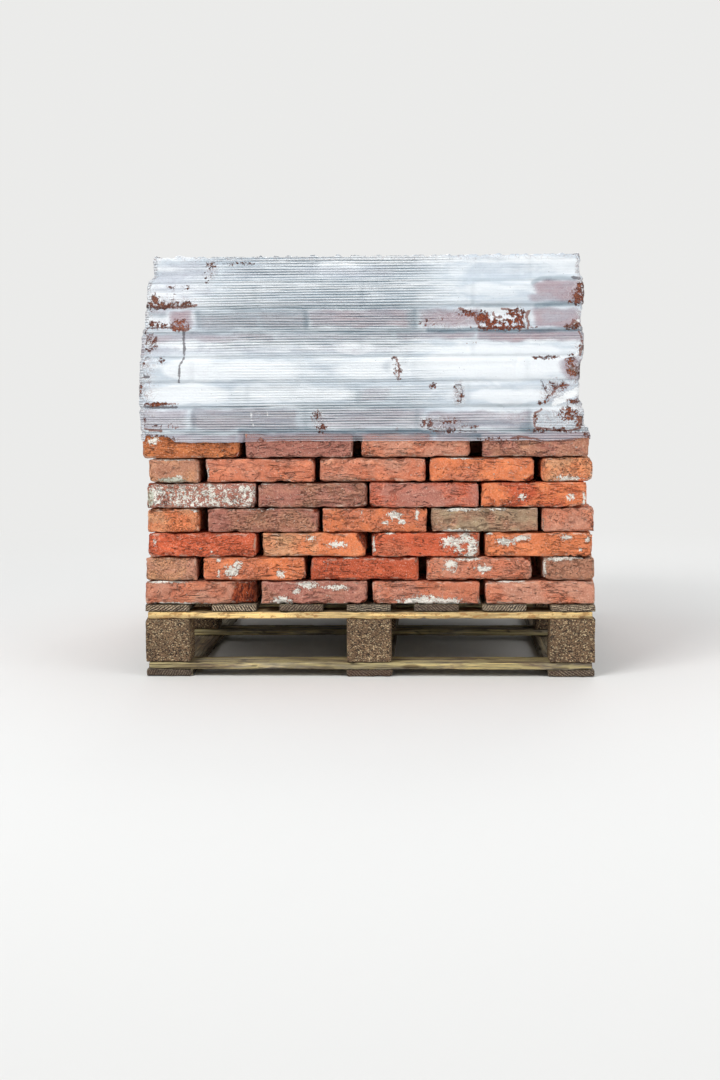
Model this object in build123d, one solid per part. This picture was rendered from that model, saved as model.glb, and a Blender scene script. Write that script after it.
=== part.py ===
from build123d import *
import math
import os
import random

# A square block pallet of wood that carries fourteen courses of old hand-moulded bricks.
# Sizes are in mm. X runs along the front of the load, Y to its back and Z up.
# The origin is on the floor under the middle of the pallet, and the front is at -Y.

# Pallet, which is as wide and deep as the load that it carries, and a little more
DECK_MARGIN = 0.5
DECK_BOARDS = 7
DECK_W = 100.0
DECK_T = 16.0
STRINGER_W = 80.0
STRINGER_T = 16.0
BLOCK_X = 100.0
BLOCK_Y = 80.0
BLOCK_H = 98.0
BASE_W = 80.0
BASE_T = 16.0
SKID_W = 104.0
SKID_T = 16.0
CROSS_SETBACK = 6.0
SAWN_EDGE = 1.0
BLOCK_EDGE = 2.5

# One brick, and how far single bricks stray from it
BRICK_L = 240.0
BRICK_W = 115.0
BRICK_H = 54.0
LENGTH_SPREAD = 5.0
WIDTH_SPREAD = 1.5
FACE_SPREAD = 2.5
TURN_SPREAD = 0.4
WORN_EDGES = (3.0, 4.0, 5.0)
CHIP = 22.0
CHIP_EVERY = 7
BREAK_L = 58.0
BREAK_D = 30.0
BREAK_TILT = 15.0

# How the bricks are laid
JOINT = 13.0
LEAST_JOINT = 6.0
CORE_JOINT = 3.0
JOINT_SHARES = (1.0, 3.0)
BED_GAP = 0.3
CORE_GAP = 6.0

# Stretch film round the upper courses. It starts at a share of its first course's
# height, and near each bed it slopes over a share of the height of the course.
FILM_T = 1.2
FILM_GAP = 0.35
FILM_LIP = 62.0
FILM_START = 0.64
FILM_SLOPE = 0.3
FILM_GROOVE = 0.6

# Each course from the bottom up: how much its bricks are higher than BRICK_H, and
# how far it stays back from the load's outline on the left, right, front and back.
COURSES = (
    (-2, 0, 0, 0, 3),
    (-1, 2, 2, 3, 6),
    (0, 8, 6, 1, 2),
    (0, 8, 2, 4, 8),
    (2, 8, 20, 2, 5),
    (0, 13, 8, 5, 1),
    (1.5, 0, 16, 2, 9),
    (0, -3, 30, 6, 12),
    (0, -5, 40, 8, 7),
    (0, -2, 39, 5, 15),
    (0, 3, 30, 9, 18),
    (0, 12, 37, 12, 14),
    (0, 17, 31, 10, 24),
    (0, 32, 40, 22, 28),
)

# The front of the bare courses, left to right: how much each brick differs from
# its nominal length or width, and the open joints between them.
FRONT_ROWS = (
    ((8, -1, -1, 4), (11, 8, 9)),
    ((1, -11, 1, -5, 0), (12, 6, 16, 26)),
    ((4, -9, -1, -2), (14, 12, 7)),
    ((2, 8, -8, -4, 2), (27, 5, 5, 5)),
    ((3, 4, 2, -7), (3, 3, 5)),
    ((-2, 2, -4, -10, -2), (16, 9, 4, 17)),
    ((-23, 0, 1, -6), (7, 16, 31)),
)

# Bricks of the front with a damaged right end: (course, place from the left), from 0
BROKEN = ((0, 0),)
CHIPPED = ((2, 1),)

# The load is a square ring of bricks. On two of its sides four bricks run through
# from corner to corner, and on the other two three bricks lie between their ends.
THROUGH = ("long",) * 4
BETWEEN = ("end", "long", "long", "long", "end")
RING = max(4 * BRICK_L + 3 * JOINT, 3 * BRICK_L + 2 * BRICK_W + 4 * LEAST_JOINT)
PALLET_X = RING + 2 * DECK_MARGIN
PALLET_Y = PALLET_X

# The film starts on the last of the courses whose front is laid by hand
FILM_FIRST_COURSE = len(FRONT_ROWS)

# Heights of the pallet's layers
SKID_TOP = SKID_T
BASE_TOP = SKID_TOP + BASE_T
BLOCK_TOP = BASE_TOP + BLOCK_H
STRINGER_TOP = BLOCK_TOP + STRINGER_T
DECK_TOP = STRINGER_TOP + DECK_T


def standing_box(length, width, height):
    return Box(length, width, height, align=(Align.CENTER, Align.CENTER, Align.MIN))


def piece(length, width, height, x, y, z, edge):
    """One sawn board or pressed block with its edges broken, on its bottom centre."""
    return Pos(x, y, z) * chamfer(standing_box(length, width, height).edges(), edge)


def across(count, span, width):
    """Centres of like pieces set evenly over a span, the outer ones flush with its ends."""
    step = (span - width) / (count - 1)
    return [-span / 2 + width / 2 + i * step for i in range(count)]


def pallet():
    """Skids along Y, base boards along X, nine blocks, three stringers and the deck."""
    parts = {}
    sides, rows = ("left", "middle", "right"), ("front", "middle", "back")
    cross = PALLET_X - 2 * CROSS_SETBACK
    for side, x in zip(sides, across(3, PALLET_X, SKID_W)):
        parts[f"skid_{side}"] = piece(SKID_W, PALLET_Y, SKID_T, x, 0, 0, SAWN_EDGE)
    for row, y in zip(rows, across(3, PALLET_Y, BASE_W)):
        parts[f"base_board_{row}"] = piece(cross, BASE_W, BASE_T, 0, y, SKID_TOP, SAWN_EDGE)
    for row, y in zip(rows, across(3, PALLET_Y, BLOCK_Y)):
        for side, x in zip(sides, across(3, PALLET_X, BLOCK_X)):
            block = piece(BLOCK_X, BLOCK_Y, BLOCK_H, x, y, BASE_TOP, BLOCK_EDGE)
            parts[f"block_{row}_{side}"] = block
    for row, y in zip(rows, across(3, PALLET_Y, STRINGER_W)):
        stringer = piece(cross, STRINGER_W, STRINGER_T, 0, y, BLOCK_TOP, SAWN_EDGE)
        parts[f"stringer_{row}"] = stringer
    for i, x in enumerate(across(DECK_BOARDS, PALLET_X, DECK_W), 1):
        deck_board = piece(DECK_W, PALLET_Y, DECK_T, x, 0, STRINGER_TOP, SAWN_EDGE)
        parts[f"deck_board_{i}"] = deck_board
    return parts


def brick(length, width, height, wear, chipped_end, broken):
    """A hand-moulded brick along X with worn edges, on its bottom centre.

    chipped_end is 0 for a whole brick, and -1 or 1 for one that has lost the top
    corner at that end of its outer face. A broken one has lost a long wedge of its
    outer face at its right end.
    """
    solid = chamfer(standing_box(length, width, height).edges(), wear)
    if chipped_end:
        corner = Pos(chipped_end * length / 2, -width / 2, height)
        solid -= corner * Rot(0, 0, chipped_end * 45) * Rot(35, 0, 0) * Box(4 * CHIP, CHIP, CHIP)
    if broken:
        start = Pos(length / 2 - BREAK_L, -width / 2, height / 2) * Rot(0, BREAK_TILT, 0)
        slope = math.degrees(math.atan2(BREAK_D, BREAK_L))
        lost = Pos(BREAK_L, -BREAK_L, 0) * Box(2 * BREAK_L, 2 * BREAK_L, 4 * height)
        solid -= start * Rot(0, 0, slope) * lost
    return solid


def spread(low, high, sizes, joints, least):
    """Sizes and centres of pieces in a row from low to high.

    The joints share what room the pieces leave, in the given proportions. Where the
    room is short, the row is laid of shorter bricks that leave the least joint.
    """
    room = high - low - sum(sizes)
    short = max(0.0, least * len(joints) - room)
    sizes = [size - short / len(sizes) for size in sizes]
    spare = room + short - least * len(joints)
    centres, at = [], low
    for size, joint in zip(sizes, (*joints, 0)):
        centres.append(at + size / 2)
        at += size + least + spare * joint / sum(joints)
    return sizes, centres


class Course:
    """One course of the load: its outline, its height and its bricks."""

    def __init__(self, index, bottom):
        rise, left, right, front, back = COURSES[index]
        self.index = index
        self.bottom = bottom
        self.height = BRICK_H + rise
        self.x = (-RING / 2 + left, RING / 2 - right)
        self.y = (-RING / 2 + front, RING / 2 - back)
        self.through_x = index % 2 == 0
        self.draw = random.Random(11 + index)
        self.bricks = []

    def row(self, span, kinds, front_row=None):
        """Sizes and centres along one side, from the front row as given or drawn."""
        nominal = {"long": BRICK_L, "end": BRICK_W}
        stray = {"long": LENGTH_SPREAD, "end": WIDTH_SPREAD}
        if front_row:
            more, joints = front_row
            least = min(joints)
        else:
            more = [self.draw.uniform(-stray[kind], stray[kind]) for kind in kinds]
            joints = [self.draw.uniform(*JOINT_SHARES) for _ in kinds[1:]]
            least = LEAST_JOINT
        sizes = [nominal[kind] + m for kind, m in zip(kinds, more)]
        return spread(*span, sizes, joints, least)

    def lay(self, length, width, along, beside, on_x, turn=0.0, place=None):
        """Puts one brick in the course, its length along X or, if not on_x, along Y.

        A brick that shows its long side on the front has its place there.
        """
        x, y = (along, beside) if on_x else (beside, along)
        if on_x:
            facing = 0 if y < 0 else 180
        else:
            facing = 90 if x > 0 else -90
        number = len(self.bricks) + self.index
        wear = WORN_EDGES[number % len(WORN_EDGES)]
        chipped_end = (-1, 1)[self.index % 2] if number % CHIP_EVERY == 3 else 0
        if (self.index, place) in CHIPPED:
            chipped_end = 1
        broken = (self.index, place) in BROKEN
        solid = brick(length, width, self.height, wear, chipped_end, broken)
        self.bricks.append(Pos(x, y, self.bottom) * Rot(0, 0, facing + turn) * solid)

    def set_back(self, edge, inward, width):
        """The centre of a brick whose outer face is at the edge or a little behind it."""
        return edge + inward * (width / 2 + self.draw.uniform(0, FACE_SPREAD))

    def ring(self):
        """The outer bricks. The sides between fix the ends of the through sides."""
        long_span, span = (self.x, self.y) if self.through_x else (self.y, self.x)
        front_row = FRONT_ROWS[self.index] if self.index < len(FRONT_ROWS) else None
        ends = []
        for edge, inward in ((long_span[0], 1), (long_span[1], -1)):
            at_front = not self.through_x and inward == 1
            sizes, centres = self.row(span, BETWEEN, front_row if at_front else None)
            for i, (size, at) in enumerate(zip(sizes[1:-1], centres[1:-1]), 1):
                beside = self.set_back(edge, inward, BRICK_W)
                turn = self.draw.uniform(-TURN_SPREAD, TURN_SPREAD)
                place = i if at_front else None
                self.lay(size, BRICK_W, at, beside, not self.through_x, turn, place)
            ends.append((sizes, centres))
        for side, (edge, inward) in enumerate(((span[0], 1), (span[1], -1))):
            at_front = self.through_x and inward == 1
            sizes, centres = self.row(long_span, THROUGH, front_row if at_front else None)
            for i, (size, at) in enumerate(zip(sizes, centres)):
                if i in (0, len(sizes) - 1):
                    end_sizes, end_centres = ends[0 if i == 0 else 1]
                    width, beside, turn = end_sizes[-side], end_centres[-side], 0.0
                else:
                    width, beside = BRICK_W, self.set_back(edge, inward, BRICK_W)
                    turn = self.draw.uniform(-TURN_SPREAD, TURN_SPREAD)
                place = i if at_front else None
                self.lay(size, width, at, beside, self.through_x, turn, place)

    def inside(self):
        """Rows of bricks along X that fill the ring, laid in the top course only."""
        inset = BRICK_W + WIDTH_SPREAD + FACE_SPREAD + CORE_JOINT
        low, high = self.x[0] + inset, self.x[1] - inset
        near, far = self.y[0] + inset, self.y[1] - inset
        rows = round((far - near) / BRICK_W)
        lines = spread(near, far, [BRICK_W] * rows, [1] * (rows - 1), CORE_JOINT)
        for width, y in zip(*lines):
            more = [self.draw.uniform(-LENGTH_SPREAD, LENGTH_SPREAD) for _ in range(3)]
            sizes = spread(low, high, [BRICK_L + m for m in more], (1, 1), CORE_JOINT)
            for length, x in zip(*sizes):
                self.lay(length, width, x, y, True)

    def outline(self):
        """The extents of the course as laid, in X and in Y."""
        boxes = [laid.bounding_box() for laid in self.bricks]
        x = (min(b.min.X for b in boxes), max(b.max.X for b in boxes))
        y = (min(b.min.Y for b in boxes), max(b.max.Y for b in boxes))
        return x, y


def load():
    """All courses from the deck up, each on the one below."""
    courses, bottom = [], DECK_TOP + BED_GAP
    for index in range(len(COURSES)):
        course = Course(index, bottom)
        course.ring()
        courses.append(course)
        bottom += course.height + BED_GAP
    courses[-1].inside()
    return courses


def core(courses):
    """A plain stand-in for the bricks that the ring and the top course hide."""
    hidden = courses[:-1]
    inset = BRICK_W + WIDTH_SPREAD + FACE_SPREAD + CORE_GAP
    x = (max(c.x[0] for c in hidden) + inset, min(c.x[1] for c in hidden) - inset)
    y = (max(c.y[0] for c in hidden) + inset, min(c.y[1] for c in hidden) - inset)
    z = (DECK_TOP + BED_GAP, courses[-1].bottom - BED_GAP)
    box = standing_box(x[1] - x[0], y[1] - y[0], z[1] - z[0])
    return Pos(sum(x) / 2, sum(y) / 2, z[0]) * box


def towards(own, other, share):
    """An outline moved out by a share of the way to another, where that stands out."""
    moved = []
    for (low, high), (other_low, other_high) in zip(own, other):
        moved.append((low - share * max(0.0, low - other_low),
                      high + share * max(0.0, other_high - high)))
    return moved


def film_levels(courses):
    """Outlines of the load and their heights, as the film follows them.

    It lies flat on the face of each course. Near a bed it slopes to whichever of the
    two courses stands out more, and at the bed it is drawn in a little.
    """
    levels = []
    wear = min(WORN_EDGES)
    outlines = [course.outline() for course in courses]
    for n, course in enumerate(courses):
        own, height = outlines[n], course.height
        below, above = outlines[max(n - 1, 0)], outlines[min(n + 1, len(courses) - 1)]
        slope = height * FILM_SLOPE
        start = height * FILM_START if n == 0 else 0
        near_edge = 1 - wear / slope
        steps = (
            (start, own if n == 0 else None),
            (wear, towards(own, below, near_edge)),
            (slope, own),
            (height - slope, own),
            (height - wear, towards(own, above, near_edge)),
        )
        for z, outline in steps:
            if outline and (z > start or n == 0 and z == start):
                levels.append((outline, course.bottom + z))
        if n + 1 < len(courses):
            groove = wear * FILM_GROOVE
            bed = [(low + groove, high - groove) for low, high in towards(own, above, 1)]
            levels.append((bed, course.bottom + height + BED_GAP / 2))
    return levels


def film_section(outline, z, grow):
    """A rectangle with cut corners, at one height, that clears worn brick corners."""
    (x0, x1), (y0, y1) = outline
    cut = min(WORN_EDGES) + grow * (2 - math.sqrt(2))
    shape = Rectangle(x1 - x0 + 2 * grow, y1 - y0 + 2 * grow)
    return Pos((x0 + x1) / 2, (y0 + y1) / 2, z) * chamfer(shape.vertices(), cut)


def film(courses):
    """The wrap: a thin closed sleeve drawn over the courses, with a lip on the top."""
    wrapped = courses[FILM_FIRST_COURSE - 1:]
    levels = film_levels(wrapped)
    outline = levels[-1][0]
    top = wrapped[-1].bottom + wrapped[-1].height + FILM_GAP
    shoulder = min(WORN_EDGES) * FILM_GROOVE
    skins = []
    for grow, end in ((FILM_GAP + FILM_T, top + FILM_T), (FILM_GAP, top)):
        sections = [film_section(*level, grow) for level in levels]
        sections.append(film_section(outline, end, grow - shoulder))
        skins.append(loft(sections, ruled=True))
    (x0, x1), (y0, y1) = outline
    opening = Box(x1 - x0 - 2 * FILM_LIP, y1 - y0 - 2 * FILM_LIP, 4 * FILM_T)
    return skins[0] - skins[1] - Pos((x0 + x1) / 2, (y0 + y1) / 2, top) * opening


def build():
    parts = pallet()
    courses = load()
    for number, course in enumerate(courses, 1):
        parts[f"brick_course_{number:02d}"] = Compound(children=course.bricks)
    parts["brick_core"] = core(courses)
    parts["stretch_film"] = film(courses)
    return parts


os.makedirs("parts", exist_ok=True)
for name, shape in build().items():
    export_step(shape, f"parts/{name}.step")
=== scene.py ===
import math
import random

import bmesh
import bpy
import numpy as np
from mathutils import Matrix, Vector


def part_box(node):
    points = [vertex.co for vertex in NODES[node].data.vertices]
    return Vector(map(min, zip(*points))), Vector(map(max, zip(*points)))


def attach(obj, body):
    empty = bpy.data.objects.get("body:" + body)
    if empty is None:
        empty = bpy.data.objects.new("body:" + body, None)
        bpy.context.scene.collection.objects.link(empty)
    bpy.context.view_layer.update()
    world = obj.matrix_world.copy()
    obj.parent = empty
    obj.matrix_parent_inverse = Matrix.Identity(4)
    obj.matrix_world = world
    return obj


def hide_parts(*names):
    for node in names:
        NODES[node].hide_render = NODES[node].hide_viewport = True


bl_info = {
    "name": "Brick Pallet Maker",
    "version": (1, 0, 0),
    "blender": (4, 5, 0),
    "location": "View3D > Sidebar > Brick Pallet",
    "description": "Dresses a wooden pallet of old bricks and the stretch film round its upper half",
    "category": "Add Mesh",
}

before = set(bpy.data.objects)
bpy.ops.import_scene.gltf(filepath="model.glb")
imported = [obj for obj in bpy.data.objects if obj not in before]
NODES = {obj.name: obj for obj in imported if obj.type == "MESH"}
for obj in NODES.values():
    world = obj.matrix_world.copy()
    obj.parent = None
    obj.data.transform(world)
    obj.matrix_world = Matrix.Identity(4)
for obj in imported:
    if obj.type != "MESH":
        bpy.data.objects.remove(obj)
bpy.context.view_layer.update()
MM = 0.001

# The courses from below, their number, and the lowest one that the film reaches
COURSES = sorted(name for name in NODES if name.startswith("brick_course_"))
TOP_COURSE = len(COURSES)
FIRST_WRAPPED = 7
# How much higher each course begins, and how far apart the noise of two bricks is read
COURSE_RISE = 0.0543
SEED_STEP = 3.7

# The rows of the pallet's boards and blocks, the deck boards, and two whose ends are damp
ROWS = ("front", "middle", "back")
DECK_BOARDS = 7
DAMP_BOARDS = ("deck_board_3", "deck_board_5")
# How much a board's faces lie inside its outline
WOOD_SETTLING = 0.0004
# A nail head's radius and height, and how far one below a skid board is let into it
NAIL_HEAD = 0.0042
NAIL_HIGH = 0.0012
NAIL_LIFT = 0.0009

# Area lamps: place, width in metres and power in watts. They shine on the middle of the load.
LAMPS = {"key": ((-2.4, -3.3, 4.3), 2.6, 168), "fill": ((3.6, -3.0, 2.4), 3.2, 58),
         "back": ((0.5, 4.2, 3.6), 3.4, 80)}
LIT_PLACE = (0, 0, 0.5)
# How pale the backdrop looks beside the floor
BACKDROP_GLOW = 1.04

# The tables below were filled in from the photograph. A brick of the front is named by
# its course and its place from the left.

# The front of the bare courses from the left: the two tones that each brick mixes
FRONT_TONES = {
    1: (("dusty", "salmon"), ("mauve", "dusty"), ("salmon", "rose"), ("dusty", "salmon")),
    2: (("dusty", "tan"), ("orange", "salmon"), ("red", "red"), ("dusty", "salmon"), ("brown", "brown")),
    3: (("red", "red"), ("orange", "tan"), ("red", "salmon"), ("orange", "orange")),
    4: (("tan", "orange"), ("mauve", "brown"), ("orange", "salmon"), ("olive", "brown"),
        ("dusty", "salmon")),
    5: (("mauve", "rose"), ("mauve", "brown"), ("mauve", "red"), ("orange", "red")),
    6: (("brown", "tan"), ("salmon", "rose"), ("salmon", "dusty"), ("orange", "salmon"), ("orange", "tan")),
    7: (("russet", "russet"), ("mauve", "mauve"), ("dusty", "salmon"), ("brown", "mauve")),
}

# Lime on those bricks: course, place, share of the way along and up, half sizes in mm
LIME = (
    (1, 0, 0.28, 0.03, 70, 4), (1, 0, 0.2, 0.97, 50, 3), (1, 1, 0.2, 0.12, 22, 12),
    (1, 1, 0.34, 0.55, 10, 6), (1, 1, 0.44, 0.83, 24, 9), (1, 1, 0.7, 0.72, 32, 6),
    (1, 2, 0.5, 0.12, 56, 13), (1, 2, 0.36, 0.1, 30, 10), (1, 2, 0.72, 0.1, 30, 9),
    (1, 3, 0.2, 0.98, 40, 3),
    (2, 1, 0.28, 0.42, 17, 14), (2, 1, 0.34, 0.7, 10, 9), (2, 1, 0.16, 0.88, 6, 5),
    (2, 1, 0.15, 0.3, 3, 10), (2, 1, 0.75, 0.28, 11, 10), (2, 2, 0.36, 0.97, 20, 3),
    (2, 3, 0.24, 0.65, 15, 14), (2, 3, 0.55, 0.5, 18, 9), (2, 3, 0.4, 0.9, 30, 4),
    (2, 4, 0.5, 0.97, 40, 4), (2, 4, 0.04, 0.5, 4, 22), (2, 4, 0.28, 0.93, 34, 6),
    (3, 0, 0.07, 0.65, 5, 7), (3, 0, 0.58, 0.2, 3, 3), (3, 1, 0.47, 0.76, 12, 6),
    (3, 1, 0.71, 0.52, 22, 8), (3, 2, 0.02, 0.5, 4, 20), (3, 2, 0.17, 0.95, 12, 3),
    (3, 2, 0.74, 0.62, 26, 12), (3, 2, 0.86, 0.8, 16, 12), (3, 2, 0.8, 0.3, 16, 6),
    (3, 2, 0.93, 0.42, 13, 18), (3, 2, 0.9, 0.1, 16, 7), (3, 3, 0.2, 0.62, 24, 9),
    (3, 3, 0.34, 0.76, 20, 7), (3, 3, 0.75, 0.78, 13, 7), (3, 3, 0.95, 0.7, 7, 7),
    (3, 3, 0.88, 0.3, 5, 5), (3, 3, 0.02, 0.95, 14, 3),
    (4, 1, 0.5, 0.98, 30, 3), (4, 2, 0.69, 0.7, 17, 9), (4, 2, 0.6, 0.4, 9, 5),
    (4, 2, 0.76, 0.42, 11, 6), (4, 2, 0.9, 0.72, 5, 14), (4, 2, 0.38, 0.8, 4, 5),
    (4, 3, 0.3, 0.94, 44, 5), (4, 3, 0.25, 0.05, 40, 4), (4, 3, 0.62, 0.95, 20, 4),
    (4, 0, 0.9, 0.9, 8, 4),
    (5, 0, 0.1, 0.5, 40, 40), (5, 0, 0.35, 0.5, 60, 40), (5, 0, 0.62, 0.5, 60, 40),
    (5, 0, 0.9, 0.5, 40, 40), (5, 1, 0.06, 0.96, 16, 3), (5, 3, 0.39, 0.42, 8, 9),
    (5, 3, 0.85, 0.4, 10, 8), (5, 3, 0.97, 0.3, 4, 20),
    (6, 0, 0.45, 0.1, 30, 7), (6, 0, 0.6, 0.2, 10, 8), (6, 0, 0.5, 0.96, 44, 3),
    (6, 4, 0.5, 0.12, 28, 8), (6, 1, 0.02, 0.4, 3, 14), (6, 3, 0.3, 0.97, 30, 3),
    (7, 0, 0.12, 0.7, 16, 8),
)

# Green growth, in the same way
MOSS = ((5, 0, 0.03, 0.4, 9, 22), (6, 0, 0.45, 0.1, 34, 8))
# The brick that a thin wash of lime covers, and how much of the lime is left there
WHITEWASHED = (5, 0)
WASH_STRENGTH = 0.68

# Rounded corners of front bricks: course and place, the way that the cut faces, its depth
SHOWN_CHIPS = {
    (3, 1): ((0.80, -0.36, 0.48), 0.021),
    (4, 0): ((0.62, -0.50, 0.60), 0.008),
    (6, 1): ((0.66, -0.40, 0.64), 0.011),
    (1, 2): ((-0.62, -0.48, -0.62), 0.010),
}

# Places on the film's front are in mm from the middle of the load and from the floor: left,
# right, bottom and top, and then how much.
# Where the film lies against the brick and shows it
FILM_ZONES = (
    (-507, -391, 548, 598, 0.5), (-385, -150, 548, 598, 0.74), (-150, -105, 548, 598, 0.3),
    (-105, 130, 548, 598, 0.5), (130, 365, 546, 590, 0.58), (368, 466, 542, 596, 0.28),
    (-23, 47, 608, 642, 0.45), (60, 220, 606, 640, 0.15), (-200, -30, 606, 626, 0.12),
    (-440, 150, 658, 700, 0.12), (425, 470, 652, 706, 0.7), (377, 440, 604, 654, 0.22),
    (-490, -200, 738, 764, 0.55), (-200, 60, 740, 764, 0.42), (60, 240, 742, 764, 0.6),
    (240, 476, 737, 764, 0.85), (-490, 100, 710, 740, 0.3), (-436, -383, 768, 812, 0.8),
    (-378, -240, 768, 806, 0.66), (-480, -436, 764, 800, 0.3), (-240, -130, 768, 810, 0.66),
    (-130, 102, 768, 812, 0.68), (112, 250, 768, 812, 0.62), (250, 352, 768, 812, 0.28),
    (357, 462, 766, 812, 0.74), (-486, -436, 800, 816, 0.6), (-486, -380, 820, 842, 0.35),
    (-380, 20, 820, 834, 0.3), (382, 470, 822, 873, 0.74), (366, 470, 822, 868, 0.74),
    (350, 470, 820, 840, 0.66), (-470, -330, 840, 916, 0.3), (-480, -380, 816, 862, 0.3),
    (-330, 60, 870, 905, 0.26), (60, 350, 872, 916, 0.12), (-505, -290, 512, 545, 0.6),
    (-290, 140, 510, 546, 1.0), (140, 500, 512, 545, 0.78), (240, 330, 745, 762, 0.9),
)

# Where the film looks grey: painted shade on film that lies free of the brick
FILM_GREY = (
    (-378, -130, 766, 812, 0.9), (-385, -105, 548, 598, 0.5), (368, 466, 546, 590, 0.55),
    (84, 112, 766, 812, 0.9), (-100, 70, 838, 868, 0.4), (-230, 60, 866, 886, 0.4),
    (-490, -436, 794, 812, 0.8), (-320, 20, 640, 660, 0.3), (-60, 90, 606, 616, 0.4),
    (300, 470, 876, 912, 0.35), (-330, -120, 880, 905, 0.3), (-150, 110, 742, 764, 0.35),
    (440, 470, 546, 592, 0.3), (40, 60, 668, 700, 0.6), (-30, -12, 604, 640, 0.6),
    (-470, -420, 880, 915, 0.35),
)

# Spots where the film is bare or torn
FILM_BARE = (
    (-489, -455, 816, 844, 0.9), (-462, -426, 816, 828, 0.9), (-416, -380, 818, 828, 0.75),
    (-484, -462, 774, 786, 0.7), (-466, -440, 772, 784, 0.7), (-432, -394, 768, 779, 1.0),
    (-428, -400, 780, 791, 0.7), (-488, -462, 722, 760, 0.5), (-506, -488, 664, 708, 0.55),
    (-462, -446, 690, 710, 0.3), (-490, -426, 604, 609, 0.8), (-506, -494, 559, 578, 0.9),
    (-480, -450, 552, 560, 0.35), (-440, -432, 552, 566, 0.45), (446, 472, 820, 846, 1.0),
    (456, 466, 840, 862, 0.9), (436, 450, 820, 826, 0.8), (430, 464, 764, 774, 0.7),
    (204, 246, 795, 806, 0.8), (240, 262, 782, 800, 0.95), (256, 284, 771, 788, 0.9),
    (284, 308, 766, 790, 0.85), (306, 330, 792, 808, 0.8), (324, 338, 768, 806, 0.85),
    (245, 345, 764, 773, 0.85), (304, 322, 774, 786, 0.7), (457, 478, 712, 730, 0.65),
    (364, 416, 700, 706, 0.6), (440, 466, 666, 690, 0.95), (434, 448, 684, 706, 0.9),
    (380, 398, 606, 650, 0.4), (396, 430, 628, 654, 0.45), (372, 386, 603, 608, 0.7),
    (436, 462, 604, 612, 0.6), (424, 456, 568, 594, 0.85), (448, 468, 550, 574, 0.7),
    (366, 466, 541, 549, 0.6), (364, 372, 556, 590, 0.5), (462, 482, 512, 540, 0.6),
    (54, 62, 690, 709, 0.5), (60, 73, 660, 692, 0.55), (136, 149, 640, 648, 0.7),
    (186, 200, 628, 650, 0.35), (196, 212, 600, 628, 0.4), (119, 137, 554, 572, 0.95),
    (140, 210, 541, 552, 0.5), (150, 205, 560, 576, 0.35), (-122, -100, 564, 592, 0.4),
    (-110, -91, 545, 560, 0.75), (-352, -332, 902, 915, 0.45), (-354, -342, 872, 900, 0.45),
    (-320, -256, 909, 913, 0.55), (-442, -408, 859, 866, 0.4), (-402, -388, 857, 864, 0.45),
    (-430, -420, 828, 854, 0.35), (-502, -480, 868, 905, 0.35), (112, 130, 770, 800, 0.35),
    (130, 200, 786, 792, 0.25), (30, 90, 548, 553, 0.3), (200, 260, 548, 556, 0.3),
    (-500, -430, 526, 536, 0.8), (-240, -225, 521, 530, 0.6), (250, 340, 521, 530, 0.5),
)

# Where many layers of film lie on each other
FILM_THICK = (
    (-500, -300, 603, 652, 1.0), (-330, -60, 606, 655, 0.6), (-430, -100, 655, 706, 0.7),
    (-450, -310, 652, 712, 0.9), (110, 470, 655, 735, 1.0), (200, 420, 600, 640, 0.7),
    (-80, 20, 712, 738, 0.9), (-488, -420, 770, 812, 0.8), (380, 480, 880, 920, 0.6),
    (200, 340, 830, 868, 0.55), (-80, 110, 655, 706, 0.7), (-150, 0, 880, 918, 0.5),
    (360, 470, 548, 592, 0.6), (-110, -40, 612, 640, 0.7), (240, 350, 545, 590, 0.4),
)

# Where the film is crinkled
CRINKLES = (
    (428, 512, 545, 612, 0.9), (442, 512, 612, 735, 0.9), (452, 512, 735, 870, 0.8),
    (-512, -486, 545, 700, 0.8), (-512, -470, 715, 770, 0.8), (-500, -470, 840, 915, 0.7),
    (470, 512, 870, 920, 0.7), (290, 380, 553, 590, 0.35), (-505, -486, 667, 708, 1.0),
    (377, 440, 604, 654, 0.9), (367, 466, 542, 593, 0.6), (119, 213, 541, 576, 0.9),
    (186, 212, 600, 650, 0.9), (-122, -91, 546, 590, 0.9), (-261, -217, 556, 593, 0.35),
    (-486, -461, 721, 758, 0.9), (110, 240, 766, 808, 0.5), (425, 470, 820, 866, 0.5),
    (-350, -330, 870, 916, 0.6), (-488, -372, 816, 842, 0.6),
)

# How much the joints of each wrapped course show through the film as painted shade, and then the beds
# between them, both from below. The deepest that the film dips into a joint.
JOINTS_SHOWN = (0.3, 0.5, 0.25, 0.12, 0.2, 0.62, 0.3, 0.16)
BEDS_SHOWN = (0.75, 0.5, 0.18, 0.12, 0.8, 0.75, 0.22)
DEEPEST_DIP = 0.006
# The film's lower edge along the front, as X and Z in mm
EDGE_FRONT = ((-507, 535), (-438, 535), (-426, 523), (-388, 521), (-150, 525), (158, 523), (354, 524),
              (376, 520), (440, 523), (462, 529), (505, 528))

# The camera that the photograph was taken with, fitted to the pallet's boards
CAMERA_PLACE = (0.128, -3.788, 0.638)
YAW, PITCH, ROLL = math.radians(2.55), math.radians(5.76), math.radians(0.36)
LENS, FRAME_HIGH = 50.0, 36.0
PHOTO_WIDE, PHOTO_HIGH = 720, 1080
FRONT_PLANE = -0.499
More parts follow.
